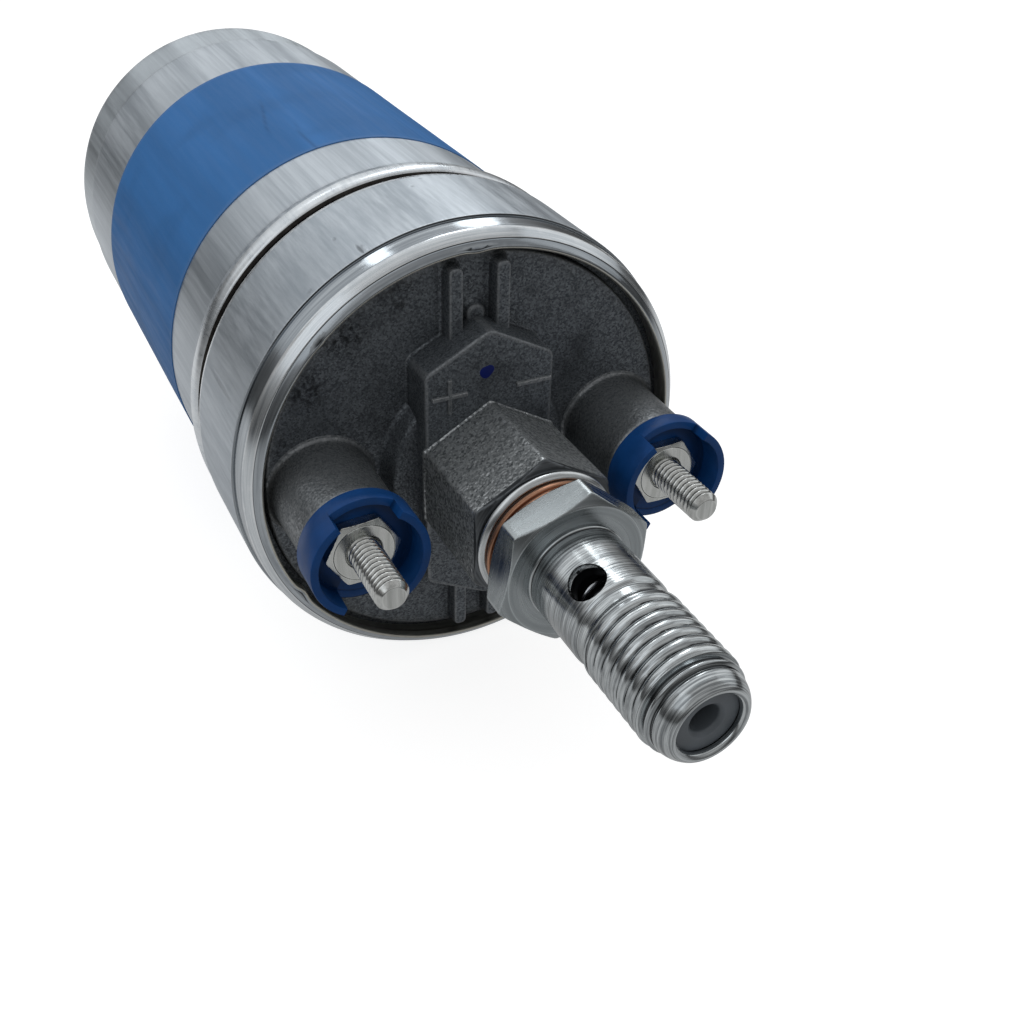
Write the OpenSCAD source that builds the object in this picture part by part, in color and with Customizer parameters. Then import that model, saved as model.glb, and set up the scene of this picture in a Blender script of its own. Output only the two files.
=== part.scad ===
// Inline electric fuel pump: roller-cell pump, motor and outlet check valve in one drawn housing.
// Lengths are in millimetres. Every piece is drawn on the pump's axis with z towards the outlet,
// measured from the middle of the clamping ring, and on_axis() lays that axis along -Y.

/* [Housing] */
// Radius of the drawn tube
tube_r = 28.7; // [27.5:0.1:31]
// Wall of the drawn tube
tube_wall = 1.7; // [1.3:0.1:1.9]
// Length of the housing from its front lip to its rear end
body_len = 111.8; // [111:0.2:120]
// Height of the clamping ring over the tube
ring_rise = 1.3; // [1.1:0.1:2]
// Length of the clamping ring
ring_len = 18; // [16:0.5:20]
// Height of the polished collar over the tube
collar_rise = 0.5; // [0.3:0.1:0.8]
// Length of the collar, up to the front lip
collar_len = 4.5; // [4:0.1:5.5]
// Wall of the collar
collar_wall = 1.2; // [0.8:0.1:1.3]
// How far the rolled front lip reaches inwards
lip_reach = 1.9; // [1.8:0.1:2.2]
// Depth of the groove behind the ring, below the tube
groove_drop = 0.4; // [0.2:0.1:0.6]
// Width of the groove behind the ring
groove_w = 1.6; // [1:0.1:2]
// Height of the bead behind the groove, over the tube
bead_rise = 0.7; // [0.4:0.1:1]
// Drop of the neck behind the rear shoulder
neck_drop = 0.5; // [0.3:0.1:0.6]
// Length of the neck, up to the rear end
neck_len = 15.6; // [15:0.2:17]
// Outer radius of the rounding at the rear end
rear_round = 5.8; // [5:0.1:6.5]
// Length of the flat lip inside the rounding at the rear end
rear_lip = 0.4; // [0.3:0.1:1]

/* [Label] */
// Distance from the front lip to the label
label_start = 38.5; // [34:0.5:45]
// Length of the label band
label_len = 40.7; // [30:0.5:44]
// Thickness of the label band
label_t = 0.15; // [0.12:0.01:0.3]

/* [Outlet cover] */
// Depth of the cover's face behind the front lip
face_depth = 2; // [1.5:0.1:2.5]
// Width of the dark gap between the lip and the cover's face
lip_gap = 0.7; // [0.5:0.1:1.2]
// Drop from the face to the rim that the lip holds
rim_drop = 1.4; // [1:0.1:2]
// Wall of the cover behind its face
cover_wall = 6; // [5:0.1:6.5]
// Thickness of the skirt round the hollow behind the cover's wall
skirt_wall = 3.8; // [3.4:0.1:4.5]
// Radius of the bearing boss in the hollow
bearing_boss_r = 9; // [8.5:0.1:9.4]
// Radius at which the three outlet passages stand
duct_at = 6.2; // [6.1:0.05:6.4]
// Radius of an outlet passage
duct_r = 1.2; // [1:0.05:1.3]
// Height of the raised pad over the face
pad_h = 5; // [4:0.1:6]
// Half of the width of the pad
pad_half_w = 8.4; // [8:0.1:9.4]
// Height of the pad's shoulders from the axis
pad_shoulder = 14.8; // [13:0.1:16]
// Height of the pad's points from the axis
pad_point = 19.25; // [18:0.05:21]
// Width across the flats of the hexagonal boss
boss_flats = 17; // [16.5:0.1:18]
// Length of the hexagonal boss over the pad
boss_len = 14.5; // [12:0.1:16]
// Radius of the round hub under the pad
hub_r = 12.2; // [11:0.1:12.5]
// Height of the round hub over the face
hub_h = 2.6; // [1:0.1:3.5]
// Width of a stiffening rib
rib_w = 2; // [1.5:0.1:2.5]
// Height of a stiffening rib over the face
rib_h = 2; // [1:0.1:2.5]
// Distance of each upper rib from the middle plane
rib_upper_x = 3; // [2.5:0.1:4]
// Distance of each lower rib from the middle plane
rib_lower_x = 2.4; // [2:0.1:4]
// Gap between a rib's end and the face's edge
rib_gap = 0.7; // [0.5:0.1:2]
// Length of the arms of the polarity marks
mark_len = 4.6; // [3.5:0.1:5]
// Width of the lines of the polarity marks
mark_w = 0.6; // [0.4:0.05:0.8]
// Height of the polarity marks over the pad
mark_h = 0.25; // [0.15:0.05:0.5]

/* [Terminals] */
// Distance of each terminal from the edge of the cover's face
terminal_inset = 6.8; // [6.6:0.1:7.4]
// Radius of a terminal boss at its top
terminal_boss_r = 6.2; // [5.8:0.1:6.4]
// Height of a terminal boss over the face
terminal_boss_h = 11.2; // [9:0.1:13]
// Radius of a threaded terminal stud
stud_r = 2; // [1.9:0.05:2.2]
// Length of the stud over its boss
stud_len = 12; // [9:0.1:14]
// Thickness of the stud's inner head
stud_head_h = 2; // [1.5:0.1:2.4]
// How far the head reaches past the stud
stud_head_rim = 1.5; // [1:0.1:1.8]
// Thickness of the insulating washer under the head
stud_washer_t = 1.3; // [1:0.1:1.6]
// Wall of the sleeve that insulates the stud
sleeve_wall = 1.1; // [0.8:0.1:1.2]
// Thickness of a terminal nut
nut_h = 2.2; // [1.8:0.1:3.2]
// Width of a terminal nut across its flats
nut_flats = 7.6; // [7:0.1:8]
// Outer radius of a terminal cup
cup_r = 7.08; // [7:0.02:7.4]
// Wall of a terminal cup
cup_wall = 1; // [0.8:0.05:1.2]
// Height of a terminal cup over its boss
cup_h = 5.5; // [4.5:0.1:6.5]
// Thickness of the cup's floor under the nut
cup_floor = 1; // [0.8:0.1:1.4]
// Angle of the notch at the top of a cup
cup_notch_angle = 65; // [50:1:75]
// Depth of the notch at the top of a cup
cup_notch_depth = 2.5; // [1.5:0.1:3]
// Angle of the slot at the bottom of a cup
cup_slot_angle = 61; // [50:1:75]

/* [Outlet fitting] */
// Radius of the outlet thread
thread_r = 6; // [5.9:0.05:6.2]
// Length of the outlet thread
thread_len = 10.2; // [9:0.1:12]
// Radius of the shank behind the thread
shank_r = 5.9; // [5.7:0.05:6]
// Length of the shank
shank_len = 10; // [9:0.1:12]
// Length of the undercut between shank and thread
undercut_len = 2.3; // [1.5:0.1:3]
// Depth of the undercut
undercut_depth = 0.6; // [0.3:0.05:0.9]
// Length of the rounded end past the thread
nose_len = 3.6; // [3:0.1:4.5]
// Radius of the end's opening
nose_bore_r = 3.65; // [3.5:0.05:3.8]
// Width of the fitting's hexagon across its flats
fitting_flats = 17; // [16.5:0.1:18]
// Thickness of the fitting's hexagon
fitting_hex_h = 4.3; // [3.5:0.1:6]
// Angle of the fitting's hexagon from upright, as it was tightened
fitting_turn = 20.2; // [0:0.1:60]
// Radius of the cross hole
cross_hole_r = 2; // [1.5:0.05:2.2]
// Distance from the hexagon's face to the cross hole
cross_hole_at = 7.2; // [5:0.1:7.6]
// Direction of the cross hole around the axis
cross_hole_angle = 123.6; // [0:0.1:180]
// Radius of the valve chamber
chamber_r = 4.1; // [3.9:0.05:4.3]
// Length of the fitting's tail in the hexagonal boss
tail_len = 10; // [8:0.1:12]
// Radius of the passage behind the valve seat
inlet_passage_r = 2.3; // [2:0.05:2.5]
// Outer radius of the silver washer
boss_washer_r = 8.6; // [8:0.1:9]
// Thickness of the silver washer
boss_washer_t = 1.6; // [1:0.1:2]
// Outer radius of the copper washer
copper_washer_r = 8.2; // [7.8:0.1:8.5]
// Thickness of the copper washer
copper_washer_t = 1.8; // [1:0.1:2]

/* [Check valve] */
// Radius of the valve head
poppet_r = 3.4; // [3:0.05:3.6]
// Radius of the valve stem
stem_r = 1.6; // [1.4:0.05:1.7]
// Travel of the valve
poppet_travel = 2; // [1:0.1:2.5]
// Radius of the valve spring's coils at mid wire
check_coil_r = 2.65; // [2.4:0.05:2.8]
// Radius of the valve spring's wire
check_wire_r = 0.35; // [0.25:0.05:0.4]
// Number of turns of the valve spring
check_turns = 6; // [4:1:7]
// Thickness of the nylon guide
guide_len = 10; // [8:0.1:11]

/* [Motor] */
// Radius of the armature shaft
shaft_r = 2.5; // [2.3:0.05:2.8]
// Wall of the iron ring round the magnets
flux_wall = 3.45; // [3:0.05:4]
// Length of the lamination stack
stack_len = 32; // [28:0.5:34]
// Number of slots in the lamination stack
slot_count = 8; // [6:1:12]
// Length of the winding past each end of the stack
end_turn_len = 5.5; // [4:0.1:6.2]
// Radius of the commutator
commutator_r = 8.5; // [8:0.1:8.8]
// Length of the commutator
commutator_len = 12; // [11.4:0.1:12.4]
// Air gap between stack and magnets
air_gap = 0.5; // [0.3:0.05:0.8]
// Thickness of a magnet
magnet_t = 5.3; // [4.5:0.1:5.6]
// Length of a magnet
magnet_len = 36; // [30:0.5:38]
// Angle that a magnet covers
magnet_angle = 124; // [110:1:130]
// Thickness of the brush plate
brush_plate_t = 3.8; // [3:0.1:4.2]
// Width of a brush
brush_w = 5; // [4:0.1:5.5]
// Height of a brush along the shaft
brush_h = 7; // [6:0.1:7.5]
// Length of a new brush
brush_len = 7; // [6:0.1:7.5]
// Room behind a brush for its lift
brush_travel = 2; // [1:0.1:3]
// Wall of a brush tube
brush_tube_wall = 0.6; // [0.5:0.05:0.8]
// Radius of a brush spring's coils at mid wire
brush_coil_r = 2; // [1.8:0.05:2.1]
// Radius of a brush spring's wire
brush_wire_r = 0.25; // [0.2:0.05:0.3]
// Number of turns of a brush spring
brush_turns = 6; // [5:1:7]
// Radius of a noise choke
choke_r = 2.4; // [2:0.1:2.8]
// Radius of a lead from brush to stud
lead_r = 0.6; // [0.5:0.05:0.7]

/* [Pump] */
// Least wall of the pump ring
pump_ring_wall = 9.15; // [9:0.05:9.6]
// Width of the rotor and the pump ring along the shaft
rotor_len = 8; // [7:0.1:8.5]
// Offset of the pump ring's bore from the shaft
eccentricity = 1.2; // [1:0.05:1.2]
// Gap between rotor and ring at the tight side
tight_gap = 0.05; // [0.03:0.01:0.08]
// Radius of a roller
roller_r = 2.4; // [2.2:0.05:2.6]
// Thickness of the port plate at the motor's side
port_plate_t = 4.5; // [4:0.1:5]
// Thickness of the base plate at the inlet's side
base_plate_t = 5; // [4.5:0.1:5.5]
// Distance of the pump screws from the plates' edge
screw_inset = 5.4; // [5:0.1:5.8]
// Radius of a pump screw
screw_r = 1.5; // [1.3:0.05:1.6]
// Radius of the relief valve's ball
ball_r = 2.5; // [2.3:0.05:2.6]
// Radius of the relief valve's passage
relief_passage_r = 1.5; // [1.3:0.05:1.7]
// Travel of the relief valve's ball
ball_travel = 1.5; // [1:0.1:2]
// Distance of the relief valve from the plates' edge
relief_inset = 5.9; // [5.5:0.1:6.2]
// Radius of the relief spring's coils at mid wire
relief_coil_r = 1.8; // [1.6:0.1:2]
// Radius of the relief spring's wire
relief_wire_r = 0.3; // [0.25:0.05:0.35]
// Number of turns of the relief spring
relief_turns = 4; // [3:1:5]

/* [Inlet] */
// Radius of the hose spigot
spigot_r = 7.5; // [7:0.1:8]
// Radius of the bead at the spigot's end
spigot_bead_r = 8.1; // [7.8:0.1:8.6]
// Length of the hose spigot
spigot_len = 23; // [18:0.5:30]
// Radius of the bore through the spigot
spigot_bore_r = 5.2; // [5.1:0.1:5.6]
// Radius of the collar at the spigot's foot
foot_r = 11; // [10:0.1:13]
// Height of the collar at the spigot's foot
foot_h = 4; // [3:0.1:6]
// Length of the inlet strainer
strainer_len = 6; // [4:0.1:7]
// Thickness of the inlet cover behind the pump
inlet_disc_t = 9.5; // [9:0.1:10]
// Radius of the section of the outlet cover's seal
front_seal_r = 1; // [0.9:0.05:1.1]
// Radius of the section of the inlet cover's seal
rear_seal_r = 0.9; // [0.8:0.05:1]

/* [Fits] */
// Radial clearance of pieces that slide into the housing
seat_gap = 0.1; // [0.05:0.01:0.15]
// Radial clearance of running and sliding fits
run_gap = 0.05; // [0.03:0.01:0.08]
// Clearance between faces that turn past each other
face_gap = 0.03; // [0.02:0.01:0.06]

/* [Hidden] */
$fn = 96;
eps = 0.01;

// Stations along the axis, from the middle of the clamping ring towards the outlet
z_lip = ring_len / 2 + collar_len;
z_rear = z_lip - body_len;
z_face = z_lip - face_depth;
z_rim = z_face - rim_drop;
z_pad = z_face + pad_h;
z_boss = z_pad + boss_len;
z_hex = z_boss + boss_washer_t + copper_washer_t;
z_shank = z_hex + fitting_hex_h;
z_undercut = z_shank + shank_len;
z_thread = z_undercut + undercut_len;
z_nose = z_thread + thread_len;
z_tip = z_nose + nose_len;
z_terminal = z_face + terminal_boss_h;
z_nut = z_terminal + cup_floor;
z_tail = z_boss - tail_len;
z_step = -ring_len / 2 + 2;
z_hollow = z_face - cover_wall;
z_head_in = z_hollow - stud_washer_t - stud_head_h;
z_plate = z_step - brush_plate_t;
z_brush = z_plate - brush_h / 2 - run_gap - brush_tube_wall;
z_neck = z_rear + neck_len;

// Radii of the housing, outside and inside
ring_r = tube_r + ring_rise;
collar_r = tube_r + collar_rise;
bead_r = tube_r + bead_rise;
groove_r = tube_r - groove_drop;
lip_bore_r = collar_r - lip_reach;
bore_r = tube_r - tube_wall;
front_bore_r = collar_r - collar_wall;
neck_r = tube_r - neck_drop;
neck_bore_r = neck_r - tube_wall;
rear_bore_r = neck_r - rear_round - rear_lip;
motor_out = bore_r - seat_gap;

// Radii of the cover
face_r = lip_bore_r - lip_gap;
cover_hollow_r = front_bore_r - skirt_wall;
terminal_x = face_r - terminal_inset;

// The brush plate's side of the motor
z_commutator = z_step - 2;
z_stack_front = z_plate - brush_h - 2 * brush_tube_wall - 2 * run_gap - 3 - end_turn_len;
z_stack_rear = z_stack_front - stack_len;
z_winding_front = z_stack_front + end_turn_len;
z_winding_rear = z_stack_rear - end_turn_len;
ring_in = motor_out - flux_wall;
magnet_out = ring_in - run_gap;
magnet_in = magnet_out - magnet_t;
stack_r = magnet_in - air_gap;
tube_end_x = motor_out - 2.3;
brush_in = commutator_r + 0.1;
x_brush_end = brush_in - 0.6 + brush_len;
bearing_r = shaft_r + 1.7;
bearing_len = 7;

// The pump, stacked against the inlet cover
z_inlet_disc = z_rear + tube_wall + seat_gap;
z_base = z_inlet_disc + inlet_disc_t;
z_ring = z_base + base_plate_t;
z_port = z_ring + rotor_len;
z_port_top = z_port + port_plate_t;
hub_top = z_port_top + 2;
chamber_bore = motor_out - pump_ring_wall - eccentricity;
rotor_r = chamber_bore - eccentricity - tight_gap;
roller_seat = rotor_r - roller_r;
screw_at = motor_out - screw_inset;
relief_at = motor_out - relief_inset;
inlet_hollow_r = neck_bore_r - 6.5;
roller_count = 5;
relief_plug_t = 2;
z_ball = z_port - sqrt(pow(ball_r, 2) - pow(relief_passage_r, 2)) - face_gap;
z_relief_end = z_ball - sqrt(pow(ball_r, 2) - pow(relief_coil_r - relief_wire_r, 2)) - face_gap;

// Outlet valve
nylon_r = chamber_r - run_gap;
z_guide = z_tip - 1 - guide_len;
z_seat = z_guide - 14;
z_head = z_seat + 3;
seat_slope = 1;
stem_tip = z_guide + 3;

// Inlet spigot
z_foot = z_rear - foot_h;
z_spigot = z_foot - spigot_len;

// Grooves of the seal rings
seal_room = 0.6;
front_groove_z = z_rim - 4.8;
rear_groove_z = z_base - 1.2;

// Lays the pump's axis along -Y, with the pad's upper point at +Z
module on_axis() rotate([90, 0, 0]) children();

// Points of an arc from one angle to another
function arc(cx, cy, r, a0, a1, n) = [for (i = [0:n]) let (a = a0 + (a1 - a0) * i / n)
    [cx + r * cos(a), cy + r * sin(a)]];

// A ring between two radii and two stations
module ring(r_in, r_out, z0, z1) rotate_extrude()
    polygon([[r_in, z0], [r_out, z0], [r_out, z1], [r_in, z1]]);

// A sector of a ring, centred on one direction
module sector(r_in, r_out, z0, z1, at, width) rotate([0, 0, at - width / 2])
    rotate_extrude(angle = width) polygon([[r_in, z0], [r_out, z0], [r_out, z1], [r_in, z1]]);

// A hexagonal prism with a point towards +Y before it is turned
module hexagon(flats, z0, z1, turn = 0) translate([0, 0, z0]) rotate([0, 0, 30 + turn])
    cylinder(r = flats / sqrt(3), h = z1 - z0, $fn = 6);

// A seal ring of round section
module seal(r, section_r, z) rotate_extrude() translate([r, z]) circle(r = section_r, $fn = 32);

// Length along a coil spring's helix: turns, with straight ends that stand on the two seats
function coil_point(r, wire_r, z0, z1, turns, t) =
    t < 0 ? [r, 0, z0] :
    t > 1 ? [r, 0, z1] :
    [r * cos(360 * turns * t), r * sin(360 * turns * t),
     z0 + 2 * wire_r + (z1 - z0 - 4 * wire_r) * t];

// One unbroken wire, six-sided, with eight rings to a turn
module coil(r, wire_r, z0, z1, turns) {
    rings = turns * 8;
    path = [for (i = [-1:rings + 1]) coil_point(r, wire_r, z0, z1, turns, i / rings)];
    last = len(path) - 1;
    points = [for (i = [0:last]) for (k = [0:5])
        let (turn = i <= 1 ? 0 : i >= last - 1 ? 360 * turns : 360 * turns * (i - 1) / rings,
             level = i == 0 || i == last,
             lean = level ? 0 : i == 1 || i == last - 1 ? 45 : 90,
             a = 60 * k, u = wire_r * cos(a), v = wire_r * sin(a),
             out = [cos(turn), sin(turn), 0], side = [-sin(turn), cos(turn), 0])
        path[i] + out * u + side * v * cos(lean) * -1 + [0, 0, 1] * v * sin(lean)];
    sides = [for (i = [0:last - 1]) for (k = [0:5]) let (n = (k + 1) % 6)
        for (f = [[i * 6 + k, i * 6 + n, (i + 1) * 6 + n],
            [i * 6 + k, (i + 1) * 6 + n, (i + 1) * 6 + k]]) f];
    caps = [for (k = [1:4]) for (f = [[0, k + 1, k], [last * 6, last * 6 + k, last * 6 + k + 1]]) f];
    polyhedron(points, concat(sides, caps));
}

// Least gap between neighbouring turns of a coil, measured on its points
function coil_gap(r, wire_r, z0, z1, turns) = let (rings = turns * 8)
    min([for (i = [0:rings]) for (j = [i + 5:rings + 1])
        if (j <= rings || i < rings - 7)
            norm(coil_point(r, wire_r, z0, z1, turns, i / rings)
                - coil_point(r, wire_r, z0, z1, turns, min(j, rings) / rings)) - 2 * wire_r]);

// Housing

module housing_tube() color("silver") on_axis() rotate_extrude() polygon(concat(
    [[lip_bore_r, z_lip - 1.2], [lip_bore_r, z_lip - 0.3], [lip_bore_r + 0.3, z_lip]],
    arc(collar_r - 1.6, z_lip - 1.6, 1.6, 85, 0, 6),
    [[collar_r, ring_len / 2], [ring_r - 0.4, ring_len / 2], [ring_r, ring_len / 2 - 0.4],
     [ring_r, 0.5 - ring_len / 2], [ring_r - 0.4, -ring_len / 2],
     [groove_r, -ring_len / 2 - 0.2], [groove_r, -ring_len / 2 - groove_w],
     [bead_r - 0.2, -ring_len / 2 - groove_w - 0.2], [bead_r, -ring_len / 2 - groove_w - 0.6],
     [tube_r, -ring_len / 2 - groove_w - 3.2],
     [tube_r, z_neck], [neck_r, z_neck - 1], [neck_r, z_rear + rear_round]],
    arc(neck_r - rear_round, z_rear + rear_round, rear_round, 0, -90, 10),
    [[rear_bore_r, z_rear], [rear_bore_r, z_rear + tube_wall]],
    arc(neck_r - rear_round, z_rear + rear_round, rear_round - tube_wall, -90, 0, 8),
    [[neck_bore_r, z_neck - 1], [bore_r, z_neck], [bore_r, z_step], [front_bore_r, z_step],
     [front_bore_r, z_rim + seat_gap], [lip_bore_r + 0.4, z_rim + seat_gap]]));

module label_band() color("steelblue") on_axis()
    ring(tube_r, tube_r + label_t, z_lip - label_start - label_len, z_lip - label_start);

// Outlet cover

// Outline of the raised pad, with its points up and down
module pad_outline() polygon([[pad_half_w, -pad_shoulder], [pad_half_w, pad_shoulder], [0, pad_point],
    [-pad_half_w, pad_shoulder], [-pad_half_w, -pad_shoulder], [0, -pad_point]]);

// One rib from the pad to the face's edge, with a round end
module rib(x, dir) {
    reach = sqrt(pow(face_r - rib_gap, 2) - pow(x, 2)) - rib_w / 2;
    start = pad_shoulder;
    translate([x, dir * (start + reach) / 2, z_face - eps])
        translate([-rib_w / 2, -(reach - start) / 2, 0]) cube([rib_w, reach - start, rib_h + eps]);
    translate([x, dir * reach, z_face - eps]) cylinder(r = rib_w / 2, h = rib_h + eps, $fn = 32);
}

// One line of a polarity mark
module mark_line(x, y, turn) translate([x, y, z_pad - eps]) rotate([0, 0, turn])
    translate([-mark_len / 2, -mark_w / 2, 0]) cube([mark_len, mark_w, mark_h + eps]);

module polarity_marks() {
    mark_x = pad_half_w - mark_len / 2 - 0.6;
    mark_y = pad_shoulder - mark_len / 2 - 0.9;
    for (turn = [0, 90]) mark_line(-mark_x + 0.2, mark_y, turn);
    mark_line(mark_x, mark_y, 0);
}

// A terminal boss with the thin raised ring at its foot
module terminal_boss() rotate_extrude() polygon([[0, z_face - eps], [terminal_boss_r + 0.9, z_face - eps],
    [terminal_boss_r + 0.9, z_face + 0.3], [terminal_boss_r + 0.6, z_face + 0.6],
    [terminal_boss_r + 0.2, z_face + 0.9], [terminal_boss_r, z_terminal - 0.3],
    [terminal_boss_r - 0.3, z_terminal], [0, z_terminal]]);

module outlet_cover() color("dimgray") on_axis() difference() {
    union() {
        rotate_extrude() polygon([[0, z_step], [front_bore_r - seat_gap, z_step],
            [front_bore_r - seat_gap, z_rim], [face_r, z_rim], [face_r, z_face], [0, z_face]]);
        translate([0, 0, z_face - eps]) cylinder(r1 = hub_r, r2 = hub_r - 0.8, h = hub_h + eps);
        translate([0, 0, z_face - eps]) linear_extrude(pad_h + eps) pad_outline();
        for (side = [-1, 1]) {
            rib(side * rib_upper_x, 1);
            rib(side * rib_lower_x, -1);
            translate([side * terminal_x, 0, 0]) terminal_boss();
        }
        // Ejector mark between the upper ribs
        translate([0, pad_point + 0.9, z_face - eps]) cylinder(r = 1.3, h = 1, $fn = 32);
        polarity_marks();
        // Hexagonal boss, turned down to a cone at its mouth
        intersection() {
            hexagon(boss_flats, z_pad - eps, z_boss);
            rotate_extrude() polygon([[0, z_pad - 1], [boss_flats, z_pad - 1],
                [boss_flats, z_boss - (boss_flats - boss_flats / 2) * 0.5],
                [boss_flats / 2, z_boss], [0, z_boss]]);
        }
    }
    // Hollow behind the wall, round the bearing boss
    ring(bearing_boss_r, cover_hollow_r, z_step - 1, z_hollow);
    translate([0, 0, z_step - 1]) cylinder(r = bearing_r + face_gap, h = bearing_len + 2.2);
    // Seal groove in the rim
    ring(front_bore_r - 2 * front_seal_r - face_gap, front_bore_r + 1,
        front_groove_z - 2 * front_seal_r - seal_room, front_groove_z);
    // Socket for the fitting's tail, and the passages that feed it
    translate([0, 0, z_tail - 0.5]) cylinder(r = thread_r + run_gap, h = tail_len + 1);
    for (turn = [30, 150, 270]) rotate([0, 0, turn]) translate([duct_at, 0, z_step - 1])
        cylinder(r = duct_r, h = z_tail - z_step + 1.5, $fn = 32);
    for (side = [-1, 1]) translate([side * terminal_x, 0, z_hollow - 1])
        cylinder(r = stud_r + sleeve_wall + seat_gap, h = terminal_boss_h + cover_wall + 2);
}

module cover_seal() color("black") on_axis()
    seal(front_bore_r - front_seal_r - face_gap, front_seal_r - face_gap,
        front_groove_z - front_seal_r - seal_room / 2);

// Outlet fitting

module boss_washer() color("lightgray") on_axis() rotate_extrude() polygon([
    [thread_r + run_gap, z_boss], [boss_washer_r - 0.4, z_boss], [boss_washer_r, z_boss + 0.4],
    [boss_washer_r, z_boss + boss_washer_t - 0.4], [boss_washer_r - 0.4, z_boss + boss_washer_t],
    [thread_r + run_gap, z_boss + boss_washer_t]]);

module copper_washer() color("peru") on_axis() let (z0 = z_boss + boss_washer_t, z1 = z_hex,
    mid = (z0 + z1) / 2) rotate_extrude() polygon([[thread_r + run_gap, z0], [copper_washer_r - 0.2, z0],
    [copper_washer_r, z0 + 0.3], [copper_washer_r - 0.1, mid - 0.15], [copper_washer_r - 0.7, mid],
    [copper_washer_r - 0.1, mid + 0.15], [copper_washer_r, z1 - 0.3], [copper_washer_r - 0.2, z1],
    [thread_r + run_gap, z1]]);

module outlet_fitting() color("gray") on_axis() difference() {
    union() {
        rotate_extrude() polygon(concat([[0, z_tail], [thread_r - 0.5, z_tail], [thread_r, z_tail + 0.5],
            [thread_r, z_hex], [shank_r + 0.15, z_hex], [shank_r + 0.15, z_shank + 0.35],
            [shank_r, z_shank + 0.5], [shank_r, z_undercut - 0.2], [shank_r - 0.2, z_undercut],
            [shank_r - undercut_depth, z_undercut + 0.3], [shank_r - undercut_depth, z_thread - 0.5],
            [thread_r, z_thread], [thread_r, z_nose], [thread_r - 0.6, z_nose + 0.6]],
            arc(thread_r - 2.0, z_tip - 1.4, 1.4, 0, 90, 6),
            [[0, z_tip]]));
        // Hexagon with both edges chamfered
        intersection() {
            hexagon(fitting_flats, z_hex, z_shank, fitting_turn - 30);
            rotate_extrude() polygon([[0, z_hex], [fitting_flats / 2 + 0.1, z_hex],
                [fitting_flats / sqrt(3) + 0.1, z_hex + 0.8],
                [fitting_flats / sqrt(3) + 0.1, z_shank - 0.8], [fitting_flats / 2 + 0.1, z_shank],
                [0, z_shank]]);
        }
    }
    // Passage, conical seat, valve chamber and the rolled end's opening
    rotate_extrude() polygon([[0, z_tail - 1], [inlet_passage_r, z_tail - 1], [inlet_passage_r, z_seat],
        [inlet_passage_r + seat_slope * 1.8, z_seat + 1.8], [chamber_r, z_seat + 1.8],
        [chamber_r, z_tip - 1], [nose_bore_r, z_tip - 1], [nose_bore_r, z_tip + 1], [0, z_tip + 1]]);
    translate([0, 0, z_shank + cross_hole_at]) rotate([0, 0, cross_hole_angle]) rotate([0, 90, 0])
        cylinder(r = cross_hole_r, h = 4 * thread_r, center = true);
}

module nylon_guide() color("gainsboro") on_axis() rotate_extrude() polygon([
    [stem_r + run_gap, z_guide], [nylon_r - 1.2, z_guide], [nylon_r, z_guide + 1.2],
    [nylon_r, z_tip - 1], [stem_r + run_gap, z_tip - 1]]);

module check_poppet() color("ivory") on_axis() rotate_extrude() polygon([
    [0, z_seat - 0.4 + 2 * face_gap], [inlet_passage_r - 0.4, z_seat - 0.4 + 2 * face_gap],
    [poppet_r, z_seat + poppet_r - inlet_passage_r + 2 * face_gap],
    [poppet_r, z_head], [stem_r, z_head], [stem_r, stem_tip - 0.3], [stem_r - 0.3, stem_tip],
    [0, stem_tip]]);

module check_spring() color("lightsteelblue") on_axis()
    coil(check_coil_r, check_wire_r, z_head, z_guide, check_turns);

// Terminals

module stud(side) color("silver") on_axis() translate([side * terminal_x, 0, 0]) rotate_extrude()
    polygon([[0, z_head_in], [stud_r + stud_head_rim, z_head_in],
        [stud_r + stud_head_rim, z_head_in + stud_head_h],
        [stud_r, z_head_in + stud_head_h], [stud_r, z_terminal + stud_len - 0.5],
        [stud_r - 0.5, z_terminal + stud_len], [0, z_terminal + stud_len]]);

module nut(side, turn) color("silver") on_axis() translate([side * terminal_x, 0, 0]) difference() {
    intersection() {
        hexagon(nut_flats, z_nut, z_nut + nut_h, turn - 30);
        rotate_extrude() polygon([[0, z_nut], [nut_flats / sqrt(3) + 0.1, z_nut],
            [nut_flats / sqrt(3) + 0.1, z_nut + nut_h - 0.4], [nut_flats / 2 + 0.1, z_nut + nut_h],
            [0, z_nut + nut_h]]);
    }
    translate([0, 0, z_nut - 1]) cylinder(r = stud_r + face_gap, h = nut_h + 2);
}

module cup(side) color("royalblue") on_axis() translate([side * terminal_x, 0, 0]) difference() {
    union() {
        translate([0, 0, z_terminal]) cylinder(r = cup_r, h = cup_h);
        // Sleeve that insulates the stud from the boss
        ring(stud_r + face_gap, stud_r + sleeve_wall, z_hollow, z_terminal + eps);
    }
    translate([0, 0, z_nut]) cylinder(r = cup_r - cup_wall, h = cup_h);
    translate([0, 0, z_hollow - 1]) cylinder(r = stud_r + face_gap, h = z_nut - z_hollow + 2);
    sector(cup_r - cup_wall - 0.2, cup_r + 1, z_terminal + cup_h - cup_notch_depth,
        z_terminal + cup_h + 1, 90, cup_notch_angle);
    sector(cup_r - cup_wall - 0.2, cup_r + 1, z_nut, z_terminal + cup_h + 1, 270, cup_slot_angle);
}

module stud_washers() color("saddlebrown") on_axis() for (side = [-1, 1])
    translate([side * terminal_x, 0, 0])
        ring(stud_r + face_gap, stud_r + stud_head_rim + 0.5, z_hollow - stud_washer_t, z_hollow);

// Inlet

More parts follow.
